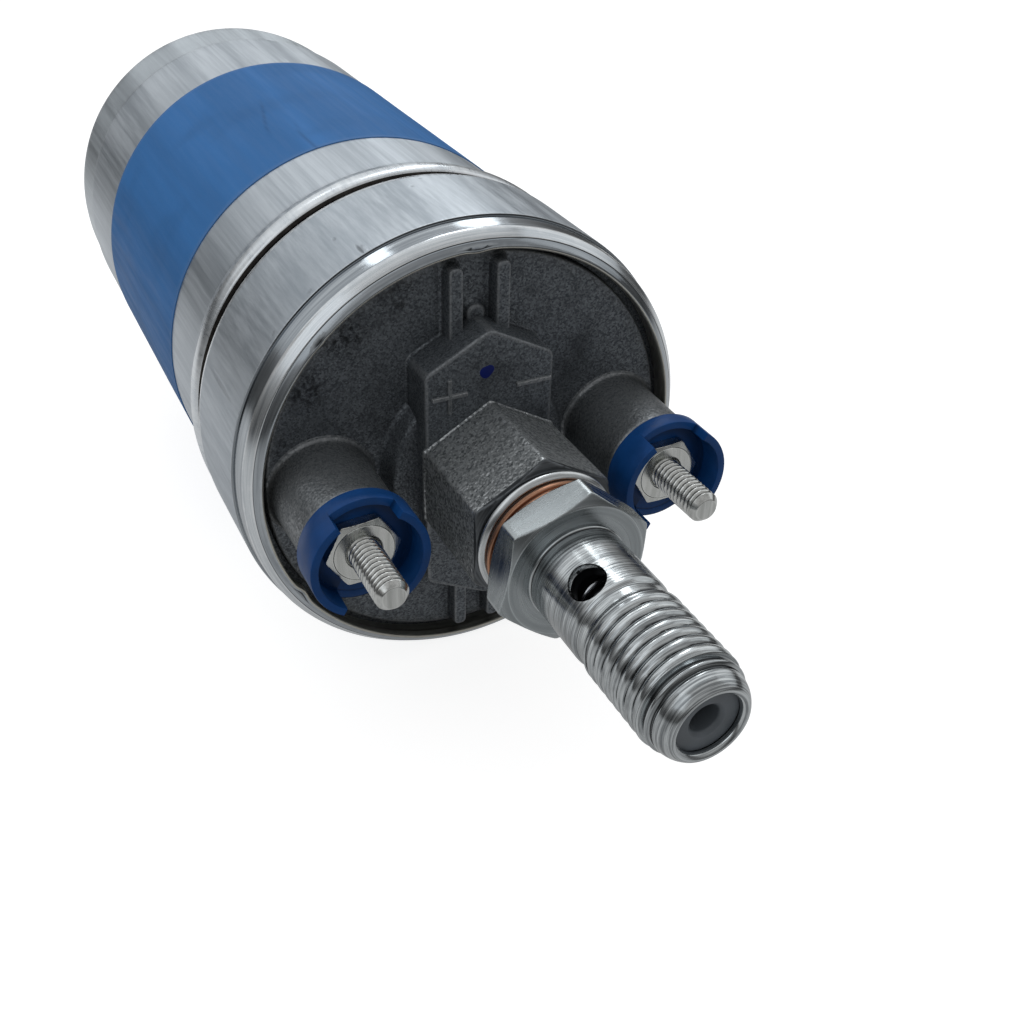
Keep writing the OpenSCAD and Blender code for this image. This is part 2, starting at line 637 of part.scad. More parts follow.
module inlet_cover() color("dimgray") on_axis() difference() {
    rotate_extrude() polygon(concat([[0, z_base], [neck_bore_r - seat_gap, z_base]],
        arc(neck_r - rear_round, z_rear + rear_round, rear_round - tube_wall - seat_gap, 0, -90, 8),
        [[rear_bore_r - seat_gap, z_inlet_disc], [rear_bore_r - seat_gap, z_rear - 0.4],
         [rear_bore_r - 1, z_rear - 1], [foot_r + 1, z_rear - 1], [foot_r, z_rear - 2],
         [foot_r - 0.5, z_foot], [spigot_r + 0.5, z_foot], [spigot_r, z_foot - 0.5],
         [spigot_r, z_spigot + 5], [spigot_bead_r, z_spigot + 3.6], [spigot_bead_r, z_spigot + 2.6],
         [spigot_r - 0.8, z_spigot], [0, z_spigot]]));
    translate([0, 0, z_base - 5.5]) cylinder(r = inlet_hollow_r, h = 6);
    translate([0, 0, z_spigot - 1]) cylinder(r = spigot_bore_r, h = spigot_len + foot_h + 20);
    ring(neck_bore_r - 2 * rear_seal_r - face_gap, neck_bore_r + 1,
        rear_groove_z - 2 * rear_seal_r - seal_room, rear_groove_z);
}

module inlet_seal() color("black") on_axis()
    seal(neck_bore_r - rear_seal_r - face_gap, rear_seal_r - face_gap,
        rear_groove_z - rear_seal_r - seal_room / 2);

// Cup of fine mesh at the inner end of the inlet's bore
module inlet_strainer() color("goldenrod") on_axis() let (z0 = z_base - 5.5, r = spigot_bore_r - run_gap)
    rotate_extrude() polygon([[0, z0 - strainer_len], [r - 0.8, z0 - strainer_len],
        [r, z0 - strainer_len + 0.8], [r, z0], [r + 2, z0], [r + 2, z0 + 0.6], [r - 0.5, z0 + 0.6],
        [r - 0.5, z0 - strainer_len + 1],
        [r - 1, z0 - strainer_len + 0.5], [0, z0 - strainer_len + 0.5]]);

// Pump

// Places copies at the pump screws
module at_screws() for (turn = [45:90:315]) rotate([0, 0, turn]) translate([screw_at, 0, 0]) children();

// Places the relief valve
module at_relief() translate([-relief_at, 0, 0]) children();

module base_plate() color("darkgray") on_axis() difference() {
    ring(0, neck_bore_r - seat_gap, z_base, z_ring);
    translate([0, 0, z_ring - 2.2]) cylinder(r = shaft_r + run_gap, h = 4);
    sector(rotor_r - 3.3, rotor_r + 0.9, z_base - 1, z_ring + 1, 270, 110);
    at_screws() translate([0, 0, z_base - 1]) cylinder(r = screw_r + face_gap, h = base_plate_t + 2);
    at_relief() translate([0, 0, z_base - 1]) cylinder(r = ball_r + 0.1, h = base_plate_t + 2);
}

module pump_ring() color("slategray") on_axis() difference() {
    ring(0, motor_out, z_ring, z_port);
    translate([eccentricity, 0, z_ring - 1]) cylinder(r = chamber_bore, h = rotor_len + 2);
    at_screws() translate([0, 0, z_ring - 1]) cylinder(r = screw_r + seat_gap, h = rotor_len + 2);
    at_relief() translate([0, 0, z_ring - 1]) cylinder(r = ball_r + 0.1, h = rotor_len + 2);
}

module port_plate() color("darkgray") on_axis() difference() {
    union() {
        ring(0, motor_out, z_port, z_port_top);
        ring(0, 8, z_port_top - eps, hub_top);
    }
    translate([0, 0, z_port - 1]) cylinder(r = bearing_r + face_gap, h = port_plate_t + 4);
    sector(rotor_r - 3.3, rotor_r + 0.9, z_port - 1, z_port_top + 1, 90, 110);
    at_screws() translate([0, 0, z_port - 1]) cylinder(r = screw_r + seat_gap, h = port_plate_t + 2);
    at_relief() translate([0, 0, z_port - 1]) cylinder(r = relief_passage_r, h = port_plate_t + 2);
}

module pump_screws() color("silver") on_axis() at_screws() rotate_extrude() polygon([
    [0, z_base + 0.5], [screw_r, z_base + 0.5], [screw_r, z_port_top], [screw_r + 1.2, z_port_top],
    [screw_r + 1.2, z_port_top + 1.4], [screw_r + 0.9, z_port_top + 1.7], [0, z_port_top + 1.7]]);

module relief_ball() color("silver") on_axis() at_relief() translate([0, 0, z_ball]) sphere(r = ball_r);

module relief_spring() color("silver") on_axis() at_relief()
    coil(relief_coil_r, relief_wire_r, z_base + relief_plug_t, z_relief_end, relief_turns);

module relief_plug() color("gold") on_axis() at_relief()
    ring(1, ball_r + 0.1 - face_gap, z_base, z_base + relief_plug_t);

// Angle of each roller round the shaft, from the wide side of the pump ring
function roller_angle(i) = 360 / roller_count * (i - 1);

module rotor() color("lightslategray") on_axis() difference() {
    ring(0, rotor_r, z_ring + face_gap, z_port - face_gap);
    translate([0, 0, z_ring - 1]) cylinder(r = shaft_r + face_gap, h = rotor_len + 2);
    for (i = [1:roller_count]) rotate([0, 0, roller_angle(i)]) {
        translate([roller_seat, 0, z_ring - 1]) cylinder(r = roller_r + run_gap, h = rotor_len + 2);
        translate([roller_seat, -roller_r - run_gap, z_ring - 1])
            cube([2 * roller_r, 2 * (roller_r + run_gap), rotor_len + 2]);
    }
    drive_pin_shape(face_gap);
}

// Cross pin that drives the rotor, turned clear of the rollers' slots
module drive_pin_shape(gap = 0) translate([0, 0, (z_ring + z_port) / 2]) rotate([0, 0, 90])
    rotate([0, 90, 0]) cylinder(r = 1 + gap, h = 2 * (shaft_r + 3 + gap), center = true, $fn = 48);

module roller(i) color("white") on_axis() rotate([0, 0, roller_angle(i)])
    translate([roller_seat, 0, z_ring + face_gap]) cylinder(r = roller_r, h = rotor_len - 2 * face_gap);

module drive_pin() color("silver") on_axis() drive_pin_shape();

// Motor

module armature_shaft() color("lightgray") on_axis() difference() {
    rotate_extrude() polygon([[0, z_ring - 2], [shaft_r - 0.3, z_ring - 2], [shaft_r, z_ring - 1.7],
        [shaft_r, z_step + bearing_len + 0.7], [shaft_r - 0.3, z_step + bearing_len + 1],
        [0, z_step + bearing_len + 1]]);
    drive_pin_shape(face_gap);
}

// Section of the stack between two slots' mouths
module slot_shapes(gap) for (i = [0:slot_count - 1]) rotate([0, 0, 360 / slot_count * i]) {
    translate([8.5 + gap, -2.2 + gap]) square([stack_r - 11 - 2 * gap, 4.4 - 2 * gap]);
    if (gap == 0) translate([stack_r - 3, -0.6]) square([4, 1.2]);
}

module lamination_stack() color("dimgray") on_axis() translate([0, 0, z_stack_rear])
    linear_extrude(stack_len) difference() {
        circle(r = stack_r);
        circle(r = shaft_r + face_gap);
        slot_shapes(0);
    }

// Bars in the slots, with a round bundle of end turns at each end
module armature_winding() color("chocolate") on_axis() {
    translate([0, 0, z_stack_rear - 0.3]) linear_extrude(stack_len + 0.6) slot_shapes(0.1);
    for (end = [[z_stack_front, z_winding_front], [z_stack_rear, z_winding_rear]])
        let (s = sign(end[1] - end[0]))
        rotate_extrude() polygon([[6.5, end[0]], [stack_r - 2.7, end[0]],
            [stack_r - 2.2, end[0] + s * 1.5], [stack_r - 4.1, end[1] - s * 0.8],
            [stack_r - 6.1, end[1]], [8, end[1]], [6.5, end[1] - s * 1]]);
}

module commutator() color("peru") on_axis() difference() {
    ring(shaft_r + face_gap, commutator_r, z_commutator - commutator_len, z_commutator);
    for (i = [0:slot_count - 1]) rotate([0, 0, 360 / slot_count * (i + 0.5)])
        translate([commutator_r - 0.8, -0.2, z_commutator - commutator_len - 1])
            cube([2, 0.4, commutator_len + 2]);
}

module front_bearing() color("darkgoldenrod") on_axis()
    ring(shaft_r + run_gap, bearing_r, z_step, z_step + bearing_len);

module rear_bearing() color("darkgoldenrod") on_axis()
    ring(shaft_r + run_gap, bearing_r, z_port + 0.1, hub_top);

module thrust_washers() color("whitesmoke") on_axis() {
    ring(shaft_r + run_gap, shaft_r + 2, z_commutator, z_commutator + 1.8);
    ring(shaft_r + run_gap, shaft_r + 2, hub_top + 0.2, z_winding_rear);
}

module magnet(at) color("darkslategray") on_axis()
    sector(magnet_in, magnet_out, (z_stack_front + z_stack_rear - magnet_len) / 2,
        (z_stack_front + z_stack_rear + magnet_len) / 2, at, magnet_angle);

// Bent strips that hold the two magnets apart
module magnet_clips() color("silver") on_axis() let (z_mid = (z_stack_front + z_stack_rear) / 2,
    half = magnet_len / 2 - 3, width = 180 - magnet_angle - 0.6) for (at = [0, 180]) {
        sector(magnet_out - 0.6, magnet_out, z_mid - half, z_mid + half, at, width);
        for (s = [-1, 1]) sector(magnet_in + 1.5, magnet_out - 0.5, z_mid - half, z_mid + half,
            at + s * (width / 2 - 0.8), 1.6);
    }

module flux_ring() color("gray") on_axis()
    ring(ring_in, motor_out, z_port_top + 2, z_stack_front + end_turn_len + 0.5);

// Brush gear

module brush_plate() color("burlywood") on_axis() difference() {
    ring(commutator_r + 1.5, motor_out, z_plate, z_step);
    for (turn = [45:90:315]) sector(commutator_r + 4, motor_out - 4.9, z_plate - 1, z_step + 1, turn, 40);
    for (side = [-1, 1]) translate([side * terminal_x, 0, z_plate - 1])
        cylinder(r = lead_r + 0.3, h = brush_plate_t + 2, $fn = 32);
}

module brush_tube(side) color("gold") on_axis() rotate([0, 0, side < 0 ? 180 : 0])
    translate([0, 0, z_brush]) difference() {
        out_w = brush_w + 2 * (run_gap + brush_tube_wall);
        out_h = brush_h + 2 * (run_gap + brush_tube_wall);
        translate([commutator_r + 1.2, -out_w / 2, -out_h / 2])
            cube([tube_end_x - commutator_r - 1.2, out_w, out_h]);
        translate([commutator_r, -brush_w / 2 - run_gap, -brush_h / 2 - run_gap])
            cube([tube_end_x - brush_tube_wall - commutator_r, out_w - 2 * brush_tube_wall,
                out_h - 2 * brush_tube_wall]);
    }

// Carbon block with its end hollowed to the commutator
module brush(side) color("black") on_axis() rotate([0, 0, side < 0 ? 180 : 0]) difference() {
    translate([brush_in - 0.6, -brush_w / 2, z_brush - brush_h / 2]) cube([brush_len, brush_w, brush_h]);
    translate([0, 0, z_brush - brush_h]) cylinder(r = brush_in, h = 2 * brush_h);
}

module brush_spring(side) color("silver") on_axis() rotate([0, 0, side < 0 ? 180 : 0])
    translate([0, 0, z_brush]) rotate([0, 90, 0])
    coil(brush_coil_r, brush_wire_r, x_brush_end, tube_end_x - brush_tube_wall, brush_turns);

module noise_chokes() color("chocolate") on_axis() for (side = [-1, 1])
    translate([side * terminal_x, 0, 0]) ring(lead_r + run_gap, choke_r, z_step + seat_gap, z_head_in - 0.2);

module brush_leads() color("peru") on_axis() for (side = [-1, 1])
    translate([side * terminal_x, 0, z_plate]) cylinder(r = lead_r, h = z_head_in - z_plate, $fn = 24);

echo(check_spring_gap = coil_gap(check_coil_r, check_wire_r, z_head, z_guide, check_turns),
    relief_spring_gap = coil_gap(relief_coil_r, relief_wire_r, z_base + relief_plug_t, z_relief_end,
        relief_turns),
    brush_spring_gap = coil_gap(brush_coil_r, brush_wire_r, x_brush_end, tube_end_x - brush_tube_wall,
        brush_turns));

housing_tube();
label_band();
outlet_cover();
cover_seal();
boss_washer();
copper_washer();
outlet_fitting();
nylon_guide();
check_poppet();
check_spring();
stud(-1);  // positive_stud
stud(1);  // negative_stud
nut(-1, 3.4);  // positive_nut
nut(1, 1.7);  // negative_nut
cup(-1);  // positive_cup
cup(1);  // negative_cup
stud_washers();
inlet_cover();
inlet_seal();
inlet_strainer();
base_plate();
pump_ring();
port_plate();
pump_screws();
relief_ball();
relief_spring();
relief_plug();
rotor();
roller(1);  // roller_1
roller(2);  // roller_2
roller(3);  // roller_3
roller(4);  // roller_4
roller(5);  // roller_5
drive_pin();
armature_shaft();
lamination_stack();
armature_winding();
commutator();
front_bearing();
rear_bearing();
thrust_washers();
magnet(90);  // magnet_upper
magnet(270);  // magnet_lower
magnet_clips();
flux_ring();
brush_plate();
brush_tube(-1);  // brush_tube_positive
brush_tube(1);  // brush_tube_negative
brush(-1);  // brush_positive
brush(1);  // brush_negative
brush_spring(-1);  // brush_spring_positive
brush_spring(1);  // brush_spring_negative
noise_chokes();
brush_leads();
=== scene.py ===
import math

import bmesh
import bpy
import numpy as np
from mathutils import Matrix, Vector


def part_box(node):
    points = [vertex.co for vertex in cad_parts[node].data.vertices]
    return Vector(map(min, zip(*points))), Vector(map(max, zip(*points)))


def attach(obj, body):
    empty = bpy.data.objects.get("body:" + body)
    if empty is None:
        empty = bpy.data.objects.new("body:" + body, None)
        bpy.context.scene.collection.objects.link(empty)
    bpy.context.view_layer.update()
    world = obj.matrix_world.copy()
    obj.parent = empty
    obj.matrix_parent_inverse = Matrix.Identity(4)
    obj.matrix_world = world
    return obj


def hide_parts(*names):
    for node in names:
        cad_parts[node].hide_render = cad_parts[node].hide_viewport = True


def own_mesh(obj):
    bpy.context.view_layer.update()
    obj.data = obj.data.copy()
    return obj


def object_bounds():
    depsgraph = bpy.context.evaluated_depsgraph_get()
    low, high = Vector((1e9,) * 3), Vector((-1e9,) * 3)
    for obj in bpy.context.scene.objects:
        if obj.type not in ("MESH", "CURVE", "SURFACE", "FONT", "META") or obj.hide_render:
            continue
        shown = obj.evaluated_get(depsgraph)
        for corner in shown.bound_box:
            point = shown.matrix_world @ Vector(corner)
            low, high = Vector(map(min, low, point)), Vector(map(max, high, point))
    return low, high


# Electric fuel pump. Shapes are drawn in millimetres on the pump's own axis, with x to the right,
# y up and z towards the outlet, and toFrame() turns them into the frame's metres.
# A profile is a list of points: radius, z, and how far from the corner its rounding starts.

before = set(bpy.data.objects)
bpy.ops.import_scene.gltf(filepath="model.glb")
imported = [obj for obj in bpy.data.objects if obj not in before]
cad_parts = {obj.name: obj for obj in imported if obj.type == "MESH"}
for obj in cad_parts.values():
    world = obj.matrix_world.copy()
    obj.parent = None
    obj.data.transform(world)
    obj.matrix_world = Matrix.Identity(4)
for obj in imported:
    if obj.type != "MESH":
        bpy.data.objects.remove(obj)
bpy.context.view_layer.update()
scene = bpy.context.scene


def station(node):  # rear end, front end and half width of a node, in millimetres
    low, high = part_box(node)
    return -high[1] * 1000, -low[1] * 1000, (high[0] - low[0]) * 500


def toFrame(points):
    points = np.asarray(points, float)
    return np.stack([points[..., 0], -points[..., 2], points[..., 1]], -1) * 0.001


housingRear, lipFront, ringR = station("housing_tube")
labelRear, labelFront, labelR = station("label_band")
foil = 0.15  # thickness of the label
tubeR = labelR - foil
terminalX = sum(corner[0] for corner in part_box("negative_stud")) * 500

# Geometry tools


def unit(vectors):
    return vectors / np.maximum(np.linalg.norm(vectors, axis=-1, keepdims=True), 1e-9)


def anglesOf(columns):
    return np.arange(columns) * 2 * math.pi / columns


def above(base, points):  # profile points whose z counts from a base
    return [(r, base + z, *corner) for r, z, *corner in points]


def arcPoints(z, r, a0, a1, count, middleR=22.4):
    return [(middleR + r * math.cos(t), z + r * math.sin(t), 0) for t in np.radians(np.linspace(a0, a1, count))]


# Rounds each corner with a short parabola, and splits the straights that are longer than longest.
def bend(points, radius=0.25, steps=4, closed=False, longest=None):
    most = 0.45  # share of a side that one corner may take
    pts = [np.array(p[:2], float) for p in points]
    radii = [p[2] if len(p) > 2 else radius for p in points]
    count, out = len(pts), []
    for i, p in enumerate(pts):
        if radii[i] <= 0 or (not closed and i in (0, count - 1)):
            out.append(p)
            continue
        a, b = pts[i - 1] - p, pts[(i + 1) % count] - p
        la, lb = np.linalg.norm(a), np.linalg.norm(b)
        p0, p2 = p + a / la * min(radii[i], most * la), p + b / lb * min(radii[i], most * lb)
        for t in np.linspace(0, 1, steps + 1):
            out.append((1 - t) ** 2 * p0 + 2 * t * (1 - t) * p + t * t * p2)
    out = np.array(out)
    if longest:
        ends = np.vstack([out, out[:1]]) if closed else out
        fine = []
        for a, b in zip(ends[:-1], ends[1:]):
            parts = max(1, int(math.ceil(np.linalg.norm(b - a) / longest)))
            fine.append(a + (b - a) * (np.arange(parts) / parts)[:, None])
        out = np.vstack(fine + ([] if closed else [ends[-1:]]))
    return out


def around(r, a, z, centre=(0, 0)):  # x = r cos a, y = r sin a
    return np.stack([centre[0] + r * np.cos(a), centre[1] + r * np.sin(a), z + 0 * a], -1)


def turn(profile, columns=96, centre=(0, 0)):  # carries a profile round the axis
    return around(profile[:, :1], anglesOf(columns), profile[:, 1:], centre)


# A hexagon with slightly round corners, from a high power mean of its six sides,
# whose radius is cut to the profile of a turned blank, as a chamfering tool does.
def hexRows(flats, phase, profile, columns=192, centre=(0, 0)):
    sharpness, a = 70, anglesOf(columns)
    sides = math.radians(phase) + math.radians(30) + np.arange(6) * math.pi / 3
    reach = np.clip(np.cos(a[..., None] - sides), 0, 1) ** sharpness
    r = flats / 2 / reach.sum(-1) ** (1 / sharpness)
    return around(np.minimum(r[None, :], profile[:, :1]), a, profile[:, 1:], centre)


# Carries a profile of inset and height round a flat closed outline, along the outline's own normals,
# then draws the last ring in towards its middle by the scales in fill, to close the top.
def loft(outline, profile, fill=(0.8, 0.5, 0.2)):
    along = unit(np.roll(outline, -1, 0) - np.roll(outline, 1, 0))
    inward = np.stack([-along[:, 1], along[:, 0]], 1)
    xy = outline[None] + inward[None] * profile[:, 0][:, None, None]
    z = np.broadcast_to(profile[:, 1][:, None, None], xy.shape[:2] + (1,))
    rows = np.concatenate([xy, z], -1)
    last, middle = rows[-1], rows[-1].mean(0)
    return np.concatenate([rows] + [(middle + (last - middle) * scale)[None] for scale in fill])


# Cuts a helical thread: the radius swings between root and crest with z / pitch - angle / turn.
def threadOn(rows, depth, crestR, pitch, zStart, zEnd, centre=(0, 0), runOut=0.5, shape=0.75):
    x, y, z = rows[..., 0] - centre[0], rows[..., 1] - centre[1], rows[..., 2]
    a, r = np.arctan2(y, x), np.hypot(x, y)
    ridge = (0.5 + 0.5 * np.cos(2 * math.pi * (z / pitch - a / (2 * math.pi)))) ** shape
    inside = np.clip((z - zStart) / runOut, 0, 1) * np.clip((zEnd - z) / runOut, 0, 1)
    outer = (np.abs(r - crestR) < 0.02) & (inside > 0)  # only the wall that stands at the crest's radius
    cut = np.where(outer, depth * (1 - ridge) * inside, 0)
    k = (r - cut) / np.maximum(r, 1e-9)
    return np.stack([centre[0] + x * k, centre[1] + y * k, z], -1)


# How sharply the surface turns at each point, along both directions: 1 on a convex edge, -1 in a crease.
def edgeOf(rows, loop):
    def swing(axis, wraps):
        after, before = np.roll(rows, -1, axis) - rows, rows - np.roll(rows, 1, axis)
        turned = -((unit(after) - unit(before)) * normal).sum(-1)
        if not wraps:
            turned[[0, -1]] = 0
        return turned

    du = np.roll(rows, -1, 1) - np.roll(rows, 1, 1)
    dv = np.roll(rows, -1, 0) - np.roll(rows, 1, 0)
    if not loop:
        dv[0], dv[-1] = rows[1] - rows[0], rows[-1] - rows[-2]
    normal = unit(np.cross(du, dv))
    a, b = swing(0, loop), swing(1, True)
    b = np.where(np.abs(b) < 0.12, 0, b)  # a round wall is no edge
    return np.clip((a + b) / 0.35, -1, 1)  # a turn of 0.35 counts as a full edge


def faceOut(mesh):
    shape = bmesh.new()
    shape.from_mesh(mesh)
    bmesh.ops.recalc_face_normals(shape, faces=shape.faces)
    shape.to_mesh(mesh)
    shape.free()


def smooth(mesh, sharp):
    mesh.shade_smooth()
    mesh.set_sharp_from_angle(angle=math.radians(sharp))


class Shells:  # collects the closed shells of one piece before they become its mesh
    def __init__(self, *keys):
        self.keys = keys  # the finishes, in the order of the piece's materials
        self.points, self.edges, self.faces, self.slots, self.count = [], [], [], [], 0

    # Adds a grid of closed rings. A loop joins its last ring to its first; otherwise fans close both ends.
    # key is one finish for all, or one for each band of faces.
    def add(self, rows, loop=False, key=None, edge=None):
        m, n = rows.shape[:2]
        index = np.arange(m * n).reshape(m, n) + self.count
        low = index if loop else index[:-1]
        high = np.roll(index, -1, 0) if loop else index[1:]
        quads = np.stack([low, np.roll(low, -1, 1), np.roll(high, -1, 1), high], -1).reshape(-1, 4)
        bands = [self.keys.index(k) for k in np.broadcast_to(self.keys[0] if key is None else key, len(low))]
        self.points.append(rows.reshape(-1, 3))
        self.edges.append(np.broadcast_to(edgeOf(rows, loop) if edge is None else edge, (m, n)).ravel())
        self.faces += quads.tolist()
        self.slots += np.repeat(bands, n).tolist()
        self.count += m * n
        if not loop:
            for ring, flip in ((0, True), (m - 1, False)):
                self.points.append(rows[ring].mean(0)[None])
                self.edges.append(np.zeros(1))
                a, b = index[ring], np.roll(index[ring], -1)
                middle = np.full(n, self.count)
                self.faces += np.stack([b, a, middle] if flip else [a, b, middle], -1).tolist()
                self.count += 1
                self.slots += [bands[0 if flip else -1]] * n

    def make(self, name, nodes, sharp=48):
        mesh = bpy.data.meshes.new(name)
        mesh.from_pydata(toFrame(np.vstack(self.points)).tolist(), [], self.faces)
        for key in self.keys:
            mesh.materials.append(finish[key])
        mesh.polygons.foreach_set("material_index", self.slots)
        store = mesh.attributes.new("edge", "FLOAT", "POINT")
        store.data.foreach_set("value", np.concatenate(self.edges).astype(np.float32))
        mesh.update()
        piece = bpy.data.objects.new(name, mesh)
        scene.collection.objects.link(piece)
        faceOut(mesh)
        smooth(mesh, sharp)
        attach(piece, "pump_body")
        if nodes:
            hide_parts(*nodes)
        return piece


def makePiece(name, rows, key, nodes, loop=True, edge=None, sharp=48):  # a piece of one shell
    shells = Shells(key)
    shells.add(rows, loop, edge=edge)
    return shells.make(name, nodes, sharp)


# Shader tools. A socket is given a value or another node's output.


class Graph:
    def __init__(self, tree):
        self.tree = tree

    def give(self, socket, value):
        if isinstance(value, bpy.types.NodeSocket):
            self.tree.links.new(value, socket)
        else:
            socket.default_value = value

    def put(self, kind, settings=None, **sockets):
        item = self.tree.nodes.new("ShaderNode" + kind)
        for key, value in (settings or {}).items():
            setattr(item, key, value)
        for key, value in sockets.items():
            numbered = key[0] == "i" and key[1:].isdigit()
            self.give(item.inputs[int(key[1:]) if numbered else key.replace("_", " ")], value)
        return item

    def use(self, key, **sockets):
        return self.put("Group", {"node_tree": groups[key]}, **sockets).outputs

    def maths(self, operation, a, b=0.0, clamp=False):
        return self.put("Math", {"operation": operation, "use_clamp": clamp}, i0=a, i1=b).outputs[0]

    def plus(self, a, b, clamp=False):
        return self.maths("ADD", a, b, clamp)

    def minus(self, a, b):
        return self.maths("SUBTRACT", a, b)

    def times(self, a, b, clamp=False):
        return self.maths("MULTIPLY", a, b, clamp)

    def split(self, vector):
        return self.put("SeparateXYZ", Vector=vector).outputs

    def join(self, x, y, z):
        return self.put("CombineXYZ", X=x, Y=y, Z=z).outputs[0]

    def vector(self, operation, a, b):
        return self.put("VectorMath", {"operation": operation}, i0=a, i1=b).outputs[0]

    def length(self, vector):
        return self.put("VectorMath", {"operation": "LENGTH"}, i0=vector).outputs["Value"]

    def noise(self, vector, scale, detail, roughness=0.5):
        return self.put("TexNoise", Vector=vector, Scale=scale, Detail=detail, Roughness=roughness).outputs[0]

    def spread(self, value, low, high, outLow=0.0, outHigh=1.0):
        return self.put("MapRange", {"interpolation_type": "SMOOTHSTEP"}, Value=value, From_Min=low,
                        From_Max=high, To_Min=outLow, To_Max=outHigh).outputs[0]

    def mix(self, factor, *colours):
        item = self.put("Mix", {"data_type": "RGBA"}, i0=factor)
        for index, value in zip((6, 7), colours):  # the two colour sockets
            isSocket = isinstance(value, bpy.types.NodeSocket)
            self.give(item.inputs[index], value if isSocket else (*value[:3], 1))
        return item.outputs[2]

    # rubs the edges and darkens the creases
    def wear(self, colour, where, edge, reach, worn, crease, scale=400.0):
        out = self.use("wear", Edge=edge, Vector=where, Scale=scale, Reach=reach)
        return self.mix(out["Crease"], self.mix(out["Worn"], colour, worn), crease)

    # adds up soft spots, each with an angle, z and radius, then half of its width, its length and its depth
    def marks(self, where, marks):
        total = None
        for angle, z, radius, wide, long, deep in marks:
            a = math.radians(angle)
            place = (radius * math.cos(a) * 0.001, -z * 0.001, radius * math.sin(a) * 0.001)
            size = (wide * 0.001, long * 0.001, wide * 0.001)
            value = self.times(self.use("spot", Vector=where, Place=place, Size=size)[0], deep)
            total = value if total is None else self.plus(total, value)
        return total


# Shader groups that several finishes share


def newGroup(name, inputs, outputs):  # an input is a number, or None for a vector
    tree = bpy.data.node_groups.new(name, "ShaderNodeTree")
    for label, value in inputs.items():
        kind = "NodeSocketVector" if value is None else "NodeSocketFloat"
        socket = tree.interface.new_socket(name=label, in_out="INPUT", socket_type=kind)
        if value is not None:
            socket.default_value = value
    for label in outputs:
        tree.interface.new_socket(name=label, in_out="OUTPUT", socket_type="NodeSocketFloat")
    return Graph(tree), tree.nodes.new("NodeGroupInput").outputs, tree.nodes.new("NodeGroupOutput").inputs


def makeStreaks():  # noise drawn out along the pump
    g, start, end = newGroup("axial streaks", {"Vector": None, "Across": 900.0, "Along": 25.0}, ["Value", "Fine"])
    x, y, z = g.split(start["Vector"])
    across = start["Across"]
    stretched = g.join(g.times(x, across), g.times(y, start["Along"]), g.times(z, across))
    g.give(end["Value"], g.noise(stretched, 0.35, 3.0, 0.6))
    g.give(end["Fine"], g.noise(stretched, 2.2, 5.0, 0.65))
    return g.tree


def makeTurned():  # noise that follows the radius, with a little sway
    g, start, end = newGroup("turned rings", {"Vector": None, "Fineness": 3000.0}, ["Value"])
    x, y, z = g.split(start["Vector"])
    fineness = start["Fineness"]
    sway = g.times(fineness, 0.03)
    rings = g.join(g.plus(g.times(g.length(g.join(x, 0.0, z)), fineness), g.times(x, sway)),
                   g.times(y, fineness), g.times(z, sway))
    g.give(end["Value"], g.noise(rings, 1.0, 4.0, 0.7))
    return g.tree


def makeGrain():  # sandy cells with noise between them, and a grey for each small cell
    g, start, end = newGroup("cast grain", {"Vector": None, "Scale": 3500.0}, ["Height", "Speck"])
    where, scale = start["Vector"], start["Scale"]
    cells = g.put("TexVoronoi", {"feature": "SMOOTH_F1"}, Vector=where, Scale=scale, Smoothness=0.7).outputs[0]
    g.give(end["Height"], g.plus(g.times(cells, 0.7), g.noise(where, g.times(scale, 0.55), 4.0)))
    tint = g.put("TexVoronoi", Vector=where, Scale=g.times(scale, 1.4)).outputs["Color"]
    g.give(end["Speck"], g.split(tint)[0])
    return g.tree


def makeWear():  # the edge value, broken up by noise
    g, start, end = newGroup("edge wear", {"Edge": 0.0, "Vector": None, "Scale": 400.0, "Reach": 0.5},
                             ["Worn", "Crease"])
    noise = g.noise(start["Vector"], start["Scale"], 4.0)
    broken = g.plus(start["Edge"], g.times(g.minus(noise, 0.5), 0.8))
    g.give(end["Worn"], g.times(g.spread(broken, 0.15, 0.75), start["Reach"]))
    g.give(end["Crease"], g.spread(g.times(start["Edge"], -1.0), 0.1, 0.8))
    return g.tree


def makeSpot():  # 1 at a place, and 0 from one size away
    g, start, end = newGroup("soft spot", {"Vector": None, "Place": None, "Size": None}, ["Value"])
    away = g.vector("DIVIDE", g.vector("SUBTRACT", start["Vector"], start["Place"]), start["Size"])
    g.give(end["Value"], g.spread(g.length(away), 0.25, 1.0, 1.0, 0.0))
    return g.tree


groups = {"streaks": makeStreaks(), "turned": makeTurned(), "grain": makeGrain(), "wear": makeWear(),
          "spot": makeSpot()}

# Finishes


def shade(colour, factor, lift=0.0):
    return [min(1, c * factor + lift) for c in colour]


def newFinish(name, **constants):  # a material's graph, its object coordinates and its edge value
    material = bpy.data.materials.new(name)
    material.use_nodes = True
    g = Graph(material.node_tree)
    g.material, g.shader = material, g.tree.nodes["Principled BSDF"]
    for label, value in constants.items():
        g.shader.inputs[label.replace("_", " ")].default_value = value
    return g, g.put("TexCoord").outputs["Object"], g.put("Attribute", {"attribute_name": "edge"}).outputs["Fac"]


def coat(g, colour, roughness, height, bump, distance):
    raised = g.put("Bump", Strength=bump, Distance=distance, Height=height).outputs[0]
    for label, value in (("Base Color", colour), ("Roughness", roughness), ("Normal", raised)):
        g.give(g.shader.inputs[label], value)
    return g.material


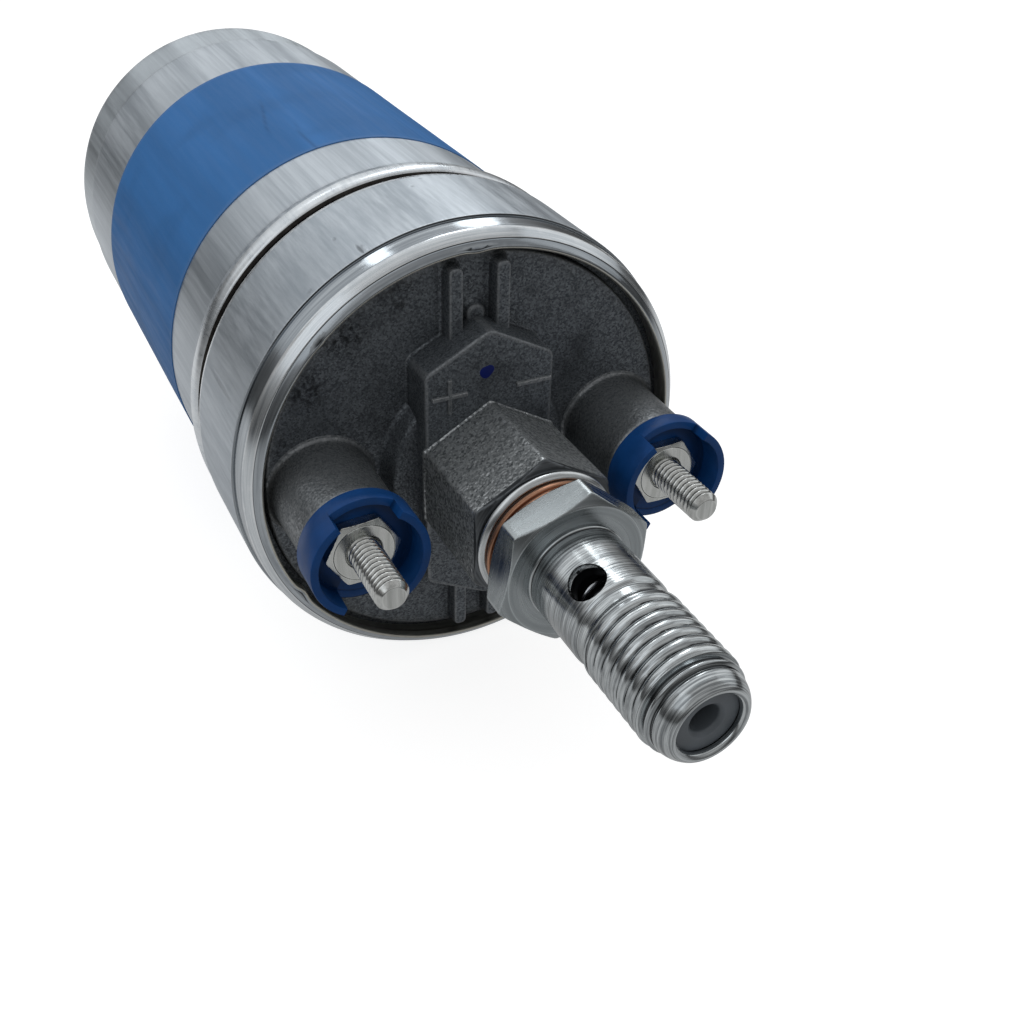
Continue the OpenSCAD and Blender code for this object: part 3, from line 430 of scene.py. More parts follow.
# metal drawn along the axis: streaks of two widths, soft smears, and bright or dark edges
def drawnMetal(name, dark, light, rough, across=900.0, along=25.0, bump=0.25, wear=0.5, marks=()):
    g, where, edge = newFinish(name, Metallic=1.0)
    wide, fine = g.use("streaks", Vector=where, Across=across, Along=along)
    both = g.plus(g.times(wide, 0.55), g.times(fine, 0.45))
    colour = g.mix(g.spread(both, 0.34, 0.66), dark, light)
    colour = g.mix(g.spread(g.noise(where, 55.0, 3.0), 0.45, 0.75, 0.0, 0.35), colour, dark)  # smears
    colour = g.wear(colour, where, edge, wear, (0.80, 0.82, 0.84), shade(dark, 0.22))
    height = fine
    if marks:
        dents = g.marks(where, marks)
        colour = g.mix(g.times(dents, 0.35, True), colour, shade(dark, 0.4))
        height = g.minus(fine, g.times(dents, 4.0))
    return coat(g, colour, g.spread(both, 0.3, 0.7, *rough), height, bump, 0.00004)


# metal turned in a lathe: fine rings about the pump's axis
def turnedMetal(name, dark, light, rough, fineness=3000.0, bump=0.2, wear=0.5):
    g, where, edge = newFinish(name, Metallic=1.0)
    rings = g.use("turned", Vector=where, Fineness=fineness)[0]
    colour = g.mix(g.spread(rings, 0.35, 0.65), dark, light)
    colour = g.mix(g.spread(g.noise(where, 180.0, 4.0), 0.5, 0.75, 0.0, 0.35), colour, dark)  # clouds
    colour = g.wear(colour, where, edge, wear, shade(light, 1.35), shade(dark, 0.25), 900.0)
    return coat(g, colour, g.spread(rings, 0.3, 0.7, *rough), rings, bump, 0.00003)


# cast metal: sandy grain with sparkling specks, cloudy stains, rubbed edges and dark corners
def castMetal(name, dark, light, rough, scale=3500.0, bump=0.5, metallic=0.75, wear=0.45, stain=0.5,
              worn=(0.5, 0.51, 0.52), shadePatches=()):
    g, where, edge = newFinish(name, Metallic=metallic)
    height, speck = g.use("grain", Vector=where, Scale=scale)
    cloud = g.noise(where, 120.0, 5.0, 0.6)
    colour = g.mix(speck, dark, light)
    colour = g.mix(g.spread(cloud, 0.48, 0.72, 0.0, stain), colour, shade(dark, 0.35))  # stains
    # patches of painted shade, broken into dark flecks
    if shadePatches:  # patches where dark specks stick
        flecks = g.spread(g.noise(where, 1500.0, 4.0, 0.7), 0.42, 0.62)
        colour = g.mix(g.times(g.marks(where, shadePatches), flecks, True), colour, shade(dark, 0.15))
    colour = g.wear(colour, where, edge, wear, worn, shade(dark, 0.3), 700.0)
    return coat(g, colour, g.spread(speck, 0.0, 1.0, rough[1], rough[0]), height, bump, 0.00012)


# moulded plastic: faint flow marks, a fine skin and paler rubbed edges
def mouldedPlastic(name, base, rough, bump=0.12, wear=0.25, paler=1.8, specular=0.5):
    g, where, edge = newFinish(name, Metallic=0.0, Specular_IOR_Level=specular)
    cloud, skin = g.noise(where, 270.0, 3.0), g.noise(where, 3600.0, 3.0)
    colour = g.mix(g.spread(cloud, 0.35, 0.7), shade(base, 0.85), shade(base, 1.12))
    colour = g.wear(colour, where, edge, wear, shade(base, paler, 0.015), shade(base, 0.5), 900.0)
    return coat(g, colour, g.spread(cloud, 0.3, 0.75, *rough), skin, bump, 0.00005)


finish = {  # dark and light tone, and the range of roughness
    "tube": drawnMetal("bare drawn tube", (0.39, 0.43, 0.47), (0.61, 0.65, 0.69), (0.4, 0.54)),
    # the bead's crest and the ring's rear edge are rubbed smooth, and painted brighter as a highlight
    "polishedHighlight": drawnMetal("polished bead with painted highlight", (0.55, 0.59, 0.63), (0.8, 0.83, 0.85), (0.24, 0.36), along=60.0),
    "neck": drawnMetal("drawn neck", (0.42, 0.46, 0.495), (0.6, 0.645, 0.68), (0.38, 0.52)),
    "ring": drawnMetal("clamping ring", (0.35, 0.39, 0.43), (0.58, 0.62, 0.66), (0.38, 0.52), across=800.0,
                       along=70.0, bump=0.3, marks=[  # angle, z, radius, half width, half length, depth
                           (114.0, 7.6, 30, 0.3, 1.7, 2.2), (113.0, 7.9, 30, 0.35, 1.2, -1.6),
                           (116.5, 2.4, 30, 0.35, 0.55, 0.8), (93.3, -2.3, 30, 0.4, 0.5, 0.6),
                           (89.6, -4.4, 30, 0.3, 0.4, 0.6), (159.0, 1.5, 30, 0.5, 6.0, 0.6),
                           (140.0, 7.9, 30, 0.5, 0.5, 0.5),
                           (128.0, 8.0, 30, 0.6, 0.5, 0.5), (60.0, 7.9, 30, 0.5, 0.5, 0.5)]),
    # the groove is painted near black, as the shade in its hollow
    "groove": drawnMetal("groove in painted shade", (0.024, 0.022, 0.021), (0.075, 0.068, 0.063), (0.4, 0.6), wear=0.0),
    "collar": turnedMetal("polished collar", (0.27, 0.295, 0.32), (0.42, 0.45, 0.475), (0.1, 0.2), 1800.0, 0.08),
    "rim": turnedMetal("rolled rim", (0.52, 0.555, 0.585), (0.74, 0.77, 0.79), (0.14, 0.26), 1800.0, 0.1),
    "lipEdge": turnedMetal("lip edge", (0.34, 0.325, 0.285), (0.52, 0.51, 0.46), (0.28, 0.42), 1500.0, 0.1),
    # the cover's face is painted darker in soft patches along the upper left of its rim, as shade, broken into dark
    # flecks
    "cover": castMetal("cast cover", (0.068, 0.077, 0.088), (0.185, 0.203, 0.22), (0.42, 0.62), wear=0.4,
                       worn=(0.3, 0.31, 0.32), shadePatches=[  # angle, z, radius, half width, depth of place, strength
                           (112.0, 11.5, 24.6, 3.6, 4.0, 0.7), (129.0, 11.5, 25.0, 4.2, 4.0, 0.9),
                           (147.0, 11.5, 24.8, 3.8, 4.0, 0.8), (164.0, 11.5, 25.2, 2.8, 4.0, 0.5)]),
    "boss": castMetal("cast bosses", (0.11, 0.12, 0.128), (0.24, 0.252, 0.262), (0.36, 0.55), scale=3000.0,
                      stain=0.3, wear=0.35, worn=(0.34, 0.35, 0.36)),
    "mark": castMetal("rubbed marks", (0.17, 0.18, 0.19), (0.3, 0.31, 0.32), (0.36, 0.5), stain=0.1, wear=0.2),
    "coarse": castMetal("coarse cast hexagon", (0.11, 0.12, 0.126), (0.5, 0.52, 0.53), (0.3, 0.5), scale=2600.0,
                        bump=0.65, stain=0.2, wear=0.35, worn=(0.42, 0.43, 0.44)),
    # the turned cone by the washer is painted near black, as shade
    "cone": turnedMetal("turned mouth in painted shade", (0.06, 0.065, 0.07), (0.14, 0.15, 0.16), (0.3, 0.45), 2500.0, wear=0.3),
    "inlet": castMetal("cast inlet", (0.05, 0.057, 0.065), (0.11, 0.12, 0.13), (0.42, 0.62), stain=0.3, wear=0.3,
                       worn=(0.22, 0.23, 0.24)),
    "paint": mouldedPlastic("blue paint", (0.001, 0.008, 0.11), (0.35, 0.5), wear=0.0, specular=0.2),
    "washer": turnedMetal("plated washer", (0.42, 0.44, 0.45), (0.68, 0.7, 0.71), (0.2, 0.35), 2500.0, wear=0.4),
    "copper": turnedMetal("copper washer", (0.2, 0.1, 0.06), (0.5, 0.27, 0.175), (0.28, 0.42), 4000.0, wear=0.25),
    "zinc": turnedMetal("plated hexagon", (0.28, 0.305, 0.315), (0.4, 0.43, 0.442), (0.2, 0.32), 700.0, 0.05, 0.6),
    "shank": turnedMetal("turned shank", (0.2, 0.215, 0.225), (0.66, 0.69, 0.7), (0.13, 0.24), 4200.0, 0.25, 0.3),
    # the bore is the shank's steel painted near black, as the shade inside it
    "bore": turnedMetal("bore in painted shade", (0.012, 0.013, 0.014), (0.035, 0.037, 0.04), (0.4, 0.6), 2500.0, wear=0.0),
    "studs": turnedMetal("bright studs", (0.46, 0.47, 0.455), (0.7, 0.71, 0.695), (0.1, 0.2), 1500.0, 0.06, 0.35),
    "nuts": turnedMetal("bright nuts", (0.52, 0.53, 0.51), (0.68, 0.69, 0.67), (0.18, 0.3), 900.0, 0.05, 0.4),
    "cup": mouldedPlastic("blue cup", (0.003, 0.046, 0.175), (0.36, 0.5), wear=0.1, specular=0.2),
    "nylon": mouldedPlastic("grey nylon", (0.105, 0.12, 0.135), (0.38, 0.5), wear=0.1, paler=1.2),
    "paleNylon": mouldedPlastic("pale nylon", (0.72, 0.7, 0.62), (0.35, 0.5), wear=0.1, paler=1.1),
    # the poppet is painted near black, as the shade inside the fitting
    "nylonPaintedShade": mouldedPlastic("nylon in painted shade", (0.014, 0.015, 0.017), (0.4, 0.55), wear=0.1, specular=0.3),
    "rubber": mouldedPlastic("seal rubber", (0.012, 0.012, 0.013), (0.55, 0.75)),
    "laminate": mouldedPlastic("brown laminate", (0.2, 0.09, 0.035), (0.4, 0.6), bump=0.3),
    "wire": turnedMetal("spring wire", (0.45, 0.47, 0.5), (0.72, 0.74, 0.77), (0.18, 0.32), 3000.0, 0.05, 0.0),
    "brass": turnedMetal("brass", (0.5, 0.36, 0.13), (0.78, 0.6, 0.28), (0.22, 0.38), 2500.0),
    "ground": turnedMetal("ground steel", (0.36, 0.37, 0.38), (0.6, 0.61, 0.62), (0.2, 0.35), 2600.0),
    "core": drawnMetal("core steel", (0.1, 0.1, 0.105), (0.22, 0.22, 0.23), (0.4, 0.6), bump=0.2),
    "enamel": drawnMetal("enamelled copper", (0.36, 0.1, 0.04), (0.62, 0.24, 0.1), (0.25, 0.4), across=500.0,
                         along=200.0, bump=0.5),
    "bronze": castMetal("sintered bronze", (0.3, 0.17, 0.07), (0.5, 0.33, 0.16), (0.35, 0.5), scale=6000.0,
                        metallic=1.0, bump=0.25, stain=0.2),
    "ferrite": castMetal("ferrite", (0.03, 0.03, 0.033), (0.06, 0.06, 0.065), (0.45, 0.6), scale=5000.0,
                         metallic=0.1, bump=0.2, stain=0.2),
    "carbon": castMetal("carbon", (0.012, 0.012, 0.013), (0.035, 0.035, 0.037), (0.4, 0.55), scale=6000.0,
                        metallic=0.2, bump=0.2, stain=0.2),
}
print("finishes:", len(finish))

# Housing

housing = {
    "columns": 288,
    "longest": 1.6,  # longest step along the profile, for the tube's slight waves
    "wave": 0.03,  # height of the waves in the drawn wall
    "bead": [(tubeR, -12.9, 0.6), (29.45, -11.9, 0.9), (29.85, -10.6, 0.9), (29.85, -9.0, 0.5), (29.5, -8.3, 0.3)],
    "groove": [(28.7, -8.05, 0.25), (28.6, -7.2, 0.2), (29.2, -6.7, 0.3), (29.85, -6.0, 0.5)],
    "ring": [(ringR, -5.2, 0.6), (ringR, 8.9, 0.12), (29.95, 8.98, 0.03)],
    "collar": [(29.72, 9.0, 0.03), (29.68, 9.12, 0.05), (29.45, 11.6, 0.25), (28.6, 12.72, 0.15)],
    "lip": [(28.45, 12.74, 0.04), (28.35, 12.9, 0.06), (27.75, 13.45, 0.3), (27.45, 13.45, 0.15),
            (27.3, 13.2, 0.12), (27.3, 12.3, 0.1), (27.7, 10.15, 0.1)],
    "stakes": [(90.5, 1.2, 0.35), (-150.0, 1.2, 0.35), (-30.0, 1.2, 0.35), (134.4, 0.6, 0.15)],  # angle, width, depth
    "stakeSlump": 0.7,  # how far a staking mark also sinks, as a share of its depth
    "zones": [  # finish, z from and to, radius from and to; a later one lies over an earlier one
        ("neck", -200, housingRear + 15, 0, 99), ("ring", -11.7, 9.02, 0, 99), ("collar", 8.97, 99, 0, 99),
        ("rim", 11.5, 12.73, 0, 99), ("lipEdge", 10, 99, 0, 27.62), ("tube", housingRear + 5, 10.2, 0, 28.1),
        # the bead and the ring's rear edge take a painted highlight
        # the groove's floor takes a painted shade
        ("groove", -8.35, -6.6, 28.2, 29.3), ("polishedHighlight", -10.2, -8.2, 29.4, 99), ("polishedHighlight", -6.6, -5.1, 29.3, 99)],
}


# Sinks and raises the outer wall a little: a sum of slow sines of the angle and the station.
def waves(rows):
    x, y, z = rows[..., 0], rows[..., 1], rows[..., 2]
    a, r = np.arctan2(y, x), np.hypot(x, y)
    lift = (np.sin(3 * a + 0.05 * z) + 0.6 * np.sin(7 * a - 0.09 * z + 1) + 0.5 * np.sin(13 * a + 0.16 * z + 2)
            + 0.4 * np.sin(0.33 * z + 4 * a)) * housing["wave"] / 2.5
    k = 1 + np.where(r > 28.0, lift, 0) / np.maximum(r, 1e-9)  # the inner wall stays true
    return np.stack([x * k, y * k, z], -1)


def angleFrom(a, middle):  # signed, in radians
    return (a - math.radians(middle) + math.pi) % (2 * math.pi) - math.pi


def makeHousing():
    rear, shoulderZ = housingRear, housingRear + 5.8
    profile = [(22.0, rear, 0.2), (22.4, rear, 0)] + arcPoints(shoulderZ, 5.8, -90, 0, 9)
    profile += [(28.2, rear + 14.6, 0.5), (tubeR, rear + 15.6, 0.6), (tubeR, labelRear), (tubeR, labelFront)]
    for part in ("bead", "groove", "ring", "collar", "lip"):
        profile += housing[part]
    profile += [(28.0, 10.1, 0.1), (28.0, -7, 0.1), (27.0, -7, 0.1), (27.0, rear + 15.3, 0.2),
                (26.5, rear + 14.4, 0.2)] + arcPoints(shoulderZ, 4.1, 0, -90, 9) + [(22.0, rear + 1.7, 0.1)]
    line = bend(profile, closed=True, longest=housing["longest"])
    rows = waves(turn(line, housing["columns"]))
    r, z = line.T
    # staking marks press the lip inwards
    lipR = 27.5
    inLip = ((z > 12.0) & (r < 27.9))[:, None]
    for angle, wide, deep in housing["stakes"]:
        off = angleFrom(anglesOf(housing["columns"]), angle) * lipR
        press = deep * np.exp(-(off / wide) ** 2) * inLip
        rows[..., :2] *= (1 - press / r[:, None])[..., None]
        rows[..., 2] -= press * housing["stakeSlump"]
    edge = edgeOf(rows, True)
    edge[(z > 9.0) & (z < 10.0) & (r > 29)] = 0  # the foot of the step stays as bright as the collar
    # each band of faces takes the finish of the zone that its middle lies in
    middleZ, middleR = (z + np.roll(z, -1)) / 2, (r + np.roll(r, -1)) / 2
    zone = np.full(len(z), "tube", object)
    for key, z0, z1, r0, r1 in housing["zones"]:
        zone[(middleZ > z0) & (middleZ < z1) & (middleR > r0) & (middleR < r1)] = key
    shells = Shells("tube", "neck", "ring", "collar", "lipEdge", "groove", "rim", "polishedHighlight")
    shells.add(rows, True, zone, edge)
    shells.make("housing_shell", ["housing_tube"])


makeHousing()
print("housing made")

# Label

label = {
    "columns": 360,
    "colour": (0.036, 0.156, 0.4),
    "edgeColour": (0.09, 0.19, 0.39),
    "creases": [  # angle, width, strength, slope, then the middle and half length along the pump
        (105.0, 0.7, 0.42, -0.5, -42.0, 8.0), (98.0, 0.7, 0.42, -0.4, -27.0, 10.0),
        (121.0, 0.7, 0.16, 0.1, -40.0, 12.0), (150.0, 0.9, 0.14, 0.2, -36.0, 14.0),
        (80.0, 0.6, 0.15, 0.0, -30.0, 12.0)],
}


def makeFoil():  # faint streaks and blotches, a paler rim, and dark lines in the creases
    g, where, edge = newFinish("label foil", Metallic=0.0, Specular_IOR_Level=0.1)
    wide, fine = g.use("streaks", Vector=where, Across=500.0, Along=30.0)
    middle, half = -(labelRear + labelFront) / 2000, (labelFront - labelRear) / 2000
    fromMiddle = g.maths("ABSOLUTE", g.minus(g.split(where)[1], middle))
    base = label["colour"]
    colour = g.mix(g.spread(wide, 0.35, 0.7), shade(base, 0.9), shade(base, 1.1))
    colour = g.mix(g.spread(g.noise(where, 70.0, 3.0), 0.48, 0.72, 0.0, 0.5), colour, shade(base, 0.75))
    colour = g.mix(g.times(g.spread(fromMiddle, half - 0.0012, half), 0.6), colour, label["edgeColour"])
    colour = g.mix(g.spread(g.times(edge, -1.0), 0.05, 0.9), colour, shade(base, 0.35))
    return coat(g, colour, g.spread(fine, 0.3, 0.7, 0.48, 0.6), g.plus(wide, g.times(edge, 0.6)), 0.25, 0.00015)


def makeLabel():
    rear, front, outer, inner = labelRear, labelFront, labelR, labelR - foil
    line = bend([(inner + 0.01, rear, 0), (outer, rear + 0.02, 0.05), (outer, front - 0.02, 0.05),
                 (inner + 0.01, front, 0), (inner - 0.2, front - 1, 0), (inner - 0.2, rear + 1, 0)],
                closed=True, longest=0.7)
    rows = waves(turn(line, label["columns"]))
    z = rows[..., 2]
    along = (z - rear) / (front - rear)
    fold = np.zeros(z.shape)
    for angle, width, strength, slope, zMiddle, zHalf in label["creases"]:
        off = np.degrees(angleFrom(anglesOf(label["columns"])[None], angle)) + slope * 20 * (along - 0.5)
        off = off + 1.2 * np.sin(along * 9 + angle)  # slanted, and a little wavy
        fold += strength * np.exp(-(off / width) ** 2) * np.exp(-((z - zMiddle) / zHalf) ** 4)
    finish["label"] = makeFoil()
    makePiece("label_foil", rows, "label", ["label_band"], edge=np.clip(-fold, -1, 0))


makeLabel()

# Outlet cover

cover = {
    "faceZ": lipFront - 2.0,
    "faceR": 26.6,
    "padZ": lipFront + 3.0,
    "padPoint": 19.25,
    "padShoulder": 14.8,
    "padHalf": 8.4,
    "bossFlats": 17.0,
    "bossFront": station("boss_washer")[0],
    "ribs": [(3.0, 1), (-3.0, 1), (2.4, -1), (-2.4, -1)],  # x, and up or down
    "bump": (0, 19.3),
    "terminalTop": lipFront + 9.2,
    "dot": (-0.5, 13.9, 0.85),
    # the plus sign's vertical bar takes the darker boss finish as painted shade, as light from above catches only the
    # horizontal bars
    "marks": [  # from x, y to x, y, how deep the bar is sunk, and its finish
        (-7.5, 11.6, -3.0, 11.6, 0, "mark"), (-5.27, 9.35, -5.27, 13.85, 0.012, "boss"),
        (3.4, 11.4, 8.0, 11.4, 0, "mark")],
}


def closedOutline(points, radius, spacing=0.25, steps=6):  # evenly spaced points round a rounded polygon
    line = bend([(x, y, radius) for x, y in points], closed=True, steps=steps)
    ends = np.vstack([line, line[:1]])
    length = np.concatenate([[0], np.cumsum(np.linalg.norm(np.diff(ends, axis=0), axis=1))])
    count = int(length[-1] / spacing)
    at = np.arange(count) * length[-1] / count
    return np.stack([np.interp(at, length, ends[:, 0]), np.interp(at, length, ends[:, 1])], 1)


def bar(x0, y0, x1, y1, width):  # outline of a straight bar with square ends
    a, b = np.array([x0, y0], float), np.array([x1, y1], float)
    along = (b - a) / np.linalg.norm(b - a)
    side = np.array([-along[1], along[0]]) * width / 2
    return [tuple(p) for p in (a - side, b - side, b + side, a + side)]


def makeCover():
    face, faceR, pad = cover["faceZ"], cover["faceR"], cover["padZ"]
    shells = Shells("cover", "boss", "coarse", "paint", "cone", "mark")
    # disc with its skirt and seal groove, then the low hub
    base = bend([(0, -5.8), (4.23, 1.2, 0.1), (4.23, -7, 0.3), (9, -7, 0.4), (9, 5.5, 1.0), (24.2, 5.5, 1.0),
                 (24.2, -7, 0.3), (27.88, -7, 0.2), (27.88, 2.7, 0.1), (26, 2.7, 0.1), (26, 5.3, 0.1),
                 (27.88, 5.3, 0.1), (27.88, 10.08, 0.15), (faceR + 0.05, 10.08, 0.1), (faceR, face, 0.35),
                 (0.02, face)], longest=2.0)
    base[0] = (0.02, 1.2)
    shells.add(turn(base, 192))
    hub = above(face, [(14.0, -0.4), (12.5, 0, 0.5), (12.2, 0.4, 0.4), (11.5, 2.6, 0.6), (0.02, 2.7)])
    shells.add(turn(bend(hub, longest=1.0), 144), edge=0)
    # pad with a fillet at its foot and a rounded rim
    half, shoulder, point = cover["padHalf"], cover["padShoulder"], cover["padPoint"]
    outline = closedOutline([(half, -shoulder), (half, shoulder), (0, point), (-half, shoulder),
                             (-half, -shoulder), (0, -point)], 0.9)
    side = above(face, [(-0.4, -0.3), (-0.35, 0, 0.1), (-0.08, 0.35, 0.25)]) + [(0.12, pad, 0.4), (0.7, pad)]
    shells.add(loft(outline, bend(side, longest=0.8)))
    ribSide = bend(above(face, [(-0.5, -0.3), (-0.4, 0, 0.2), (0.02, 0.4, 0.4), (0.12, 2, 0.5), (0.5, 2.02)]), steps=5)
    for x, way in cover["ribs"]:
        reach = math.sqrt((faceR - 0.5) ** 2 - x * x)
        shells.add(loft(closedOutline(bar(x, way * 13.0, x, way * reach, 2.0), 0.95, 0.14), ribSide))
    bump = above(face, [(1.9, -0.3), (1.7, 0, 0.2), (1.35, 0.35, 0.3), (1.15, 0.95, 0.4), (0.02, 1.0)])
    shells.add(turn(bend(bump), 40, cover["bump"]))
    # polarity marks
    markSide = bend(above(pad, [(-0.1, -0.3), (-0.04, 0, 0.1), (0.04, 0.3, 0.1), (0.12, 0.31)]), steps=3)
    for *ends, sink, key in cover["marks"]:
        shells.add(loft(closedOutline(bar(*ends, 0.52), 0.12, 0.1, 3), markSide - (0, sink)), key=key)
    # hexagonal boss with its turned cone, bored for the fitting, and a small fillet at its foot
    front, flats = cover["bossFront"], cover["bossFlats"]
    hexSide = bend(above(pad, [(10.3, -0.3, 0), (10.15, 0.05, 0.15), (10.05, 0.35, 0.2)])
                   + above(front, [(10.05, -0.9, 0), (9.9, -0.72, 0), (flats / 2 - 0.1, 0, 0.2), (6.6, 0, 0.3),
                                   (6.05, -0.5, 0.2), (6.05, -10, 0)]), longest=0.35)
    rows = hexRows(flats, 90, hexSide)
    rows[..., :2] *= 1 + 0.02 * np.clip(1 - (rows[..., 2:] - pad) / 0.35, 0, 1) ** 2
    width, level = ((hexSide[1:] + hexSide[:-1]) / 2).T
    shells.add(rows, key=np.where((level > front - 0.8) & (width < 9.95), "cone", "coarse"),
               edge=edgeOf(rows, False) * 0.4)
    # terminal bosses, cut to the disc at their foot
    top = cover["terminalTop"]
    for x in (-terminalX, terminalX):
        boss = bend(above(face, [(7.25, -0.3), (7.1, 0, 0.1), (6.7, 0.12, 0.3), (6.42, 0.6, 0.45)])
                    + [(6.2, top, 0.5), (3.6, top, 0.3), (3.2, top - 0.4, 0.1), (3.2, face + 0.5)], longest=0.9)
        rows = turn(boss, 96, (x, 0))
        trim = np.minimum(1, (faceR - 0.02) / np.hypot(rows[..., 0], rows[..., 1]))[..., None]
        rows[..., :2] *= np.where(rows[..., 2:] < face + 0.6, trim, 1)
        edge = edgeOf(rows, False)
        edge[boss[:, 1] < face + 1.5] = 0
        # the foot is painted bright all round, as a highlight along its fillet
        edge[np.abs(boss[:, 1] - face - 0.3) < 0.2] = 0.55  # the foot is rubbed bright
        shells.add(rows, key="boss", edge=edge)
    # paint spot of no regular outline
    *dotAt, dotR = cover["dot"]
    dot = turn(bend([(dotR, pad - 0.05), (dotR, pad + 0.03, 0.05), (dotR * 0.7, pad + 0.09, 0.2),
                     (0.02, pad + 0.1)]), 36, dotAt)
    a = np.arctan2(dot[..., 1] - dotAt[1], dot[..., 0] - dotAt[0])
    wobble = (1 + 0.12 * np.sin(2 * a + 0.6) + 0.08 * np.sin(3 * a))[..., None]
    dot[..., :2] = (dot[..., :2] - dotAt) * wobble + dotAt
    shells.add(dot, key="paint")
    shells.make("cover_casting", ["outlet_cover"])


makeCover()
print("cover made")

# Outlet fitting with its washers

fitting = {
    "flats": 17.0,
    "turn": 20.2,  # degrees, as it was tightened
    "threadR": 6.0,
    "threadDepth": 0.5,
    "ridges": 7,
    "holeAt": 7.2,
    "holeR": 2.0,
    "holeAngle": 123.6,
}


def makeHexagon(rear, front):
    half = fitting["flats"] / 2
    blank = bend([(6.2, rear, 0), (half - 0.15, rear, 0), (half + 1.6, rear + 0.9, 0), (half + 1.6, front - 0.9, 0),
                  (half - 0.15, front, 0), (6.0, front - 0.02, 0)], longest=0.12)
    rows = hexRows(fitting["flats"], fitting["turn"], blank)
    bore = turn(np.array([[5.8, front - 0.3], [5.8, rear + 0.3]]), 192)
    makePiece("fitting_hexagon", np.concatenate([rows, bore]), "zinc", ())


def makeShank(hexRear, hexFront):
    rear, front, _ = station("outlet_fitting")
    under, ridge, nose = hexFront + 10.0, hexFront + 12.3, hexFront + 22.5
    line = bend(
        [(2.3, rear, 0.2), (5.5, rear, 0.2), (6.0, rear + 0.5, 0.2), (6.0, hexRear + 0.5, 0.1), (5.9, hexRear + 1, 0.1)]
        + above(hexFront, [(5.9, -0.3, 0.1), (6.05, -0.2, 0.1), (6.05, 0.32, 0.12), (5.78, 0.42, 0.1),
                           (5.9, 0.62, 0.1)])
        + [(5.9, under - 0.3, 0.3), (5.55, under + 0.15, 0.3), (5.5, ridge - 0.7, 0.4), (6.0, ridge - 0.25, 0.2),
           (6.0, ridge + 0.2, 0)]
        + above(nose, [(6.0, -0.5, 0), (5.95, -0.25, 0.1), (5.25, 0, 0.12), (5.25, 0.3, 0.12), (5.72, 0.55, 0.12),
                       (5.72, 0.85, 0.12), (5.25, 1.1, 0.12), (5.25, 1.3, 0.1), (5.4, 1.55, 0.2)])
        + above(front, [(5.1, -1.0, 0.6), (4.5, -0.15, 0.4), (4.15, 0, 0.2), (3.65, -0.35, 0.2), (3.65, -1, 0.05),
                        (4.1, -1.02, 0.05)])
        + [(4.1, rear + 20.6, 0.1), (2.3, rear + 18.8, 0.1)], closed=True, steps=3, longest=0.12)
    rows = threadOn(turn(line, 144), fitting["threadDepth"], fitting["threadR"], (nose - ridge) / fitting["ridges"],
                    ridge - 0.1, nose + 0.1, shape=0.3)
    r, z = ((line + np.roll(line, -1, 0)) / 2).T
    shells = Shells("shank", "bore")
    shells.add(rows, True, np.where((r < 4.6) & (z < front - 0.9), "bore", "shank"))
    return shells.make("fitting_shank", ["outlet_fitting"])


# Drills the cross hole, flared at both mouths, whose wall takes the bore's near-black finish, a painted shade.
def drillThrough(body, at):
    holeR, reach = fitting["holeR"], 8.0
    drill = Shells("bore")
    drill.add(turn(bend([(holeR + 0.9, -reach, 0), (holeR + 0.2, -5.5, 0), (holeR, -5.2, 0.1), (holeR, 5.2, 0.1),
                         (holeR + 0.2, 5.5, 0), (holeR + 0.9, reach, 0)], longest=1.0), 64))
    x, y, z = np.vstack(drill.points).T[..., None]
    a = math.radians(fitting["holeAngle"])
    along, up = np.array([math.cos(a), math.sin(a), 0]), np.array([-math.sin(a), math.cos(a), 0])
    mesh = bpy.data.meshes.new("drill")
    mesh.from_pydata(toFrame(z * along + x * up + y * np.array([0, 0, 1.0]) + (0, 0, at)).tolist(), [], drill.faces)
    faceOut(mesh)
    cutter = bpy.data.objects.new("drill", mesh)
    scene.collection.objects.link(cutter)
    step = body.modifiers.new("cut", "BOOLEAN")
    step.object, step.operation, step.solver = cutter, "DIFFERENCE", "EXACT"
    bpy.context.view_layer.update()
    drilled = bpy.data.meshes.new_from_object(body.evaluated_get(bpy.context.evaluated_depsgraph_get()))
    body.modifiers.clear()
    body.data = drilled
    bpy.data.objects.remove(cutter)
    faces = drilled.polygons
    middles, slots = np.zeros(len(faces) * 3), np.zeros(len(faces), int)
    faces.foreach_get("center", middles)
    faces.foreach_get("material_index", slots)
    x, y, z = middles.reshape(-1, 3).T * 1000
    slots[(np.hypot(x, z) < 5.4) & (np.abs(-y - at) < holeR + 0.3)] = 1
    faces.foreach_set("material_index", slots)
    smooth(drilled, 40)


def makeWashers():
    rear, front, outer = station("boss_washer")
    line = bend([(6.06, rear), (outer - 0.5, rear, 0.2), (outer, rear + 0.4, 0.3), (outer, front - 0.8, 0.3),
                 (outer - 0.45, front - 0.4, 0.15), (outer - 1.1, front - 0.32, 0.1), (outer - 1.1, front, 0.02),
                 (6.06, front)], closed=True, longest=0.5)
    makePiece("silver_washer", turn(line, 144), "washer", ["boss_washer"])
    rear, front, outer = station("copper_washer")
    mid = (rear + front) / 2
    line = bend([(6.06, rear), (outer - 0.2, rear, 0.1), (outer, rear + 0.3, 0.2), (outer - 0.08, mid - 0.2, 0.12),
                 (outer - 0.75, mid, 0.1), (outer - 0.08, mid + 0.2, 0.12), (outer, front - 0.3, 0.2),
                 (outer - 0.2, front, 0.1), (6.06, front)], closed=True, longest=0.4)
    makePiece("crush_washer", turn(line, 144), "copper", ["copper_washer"])


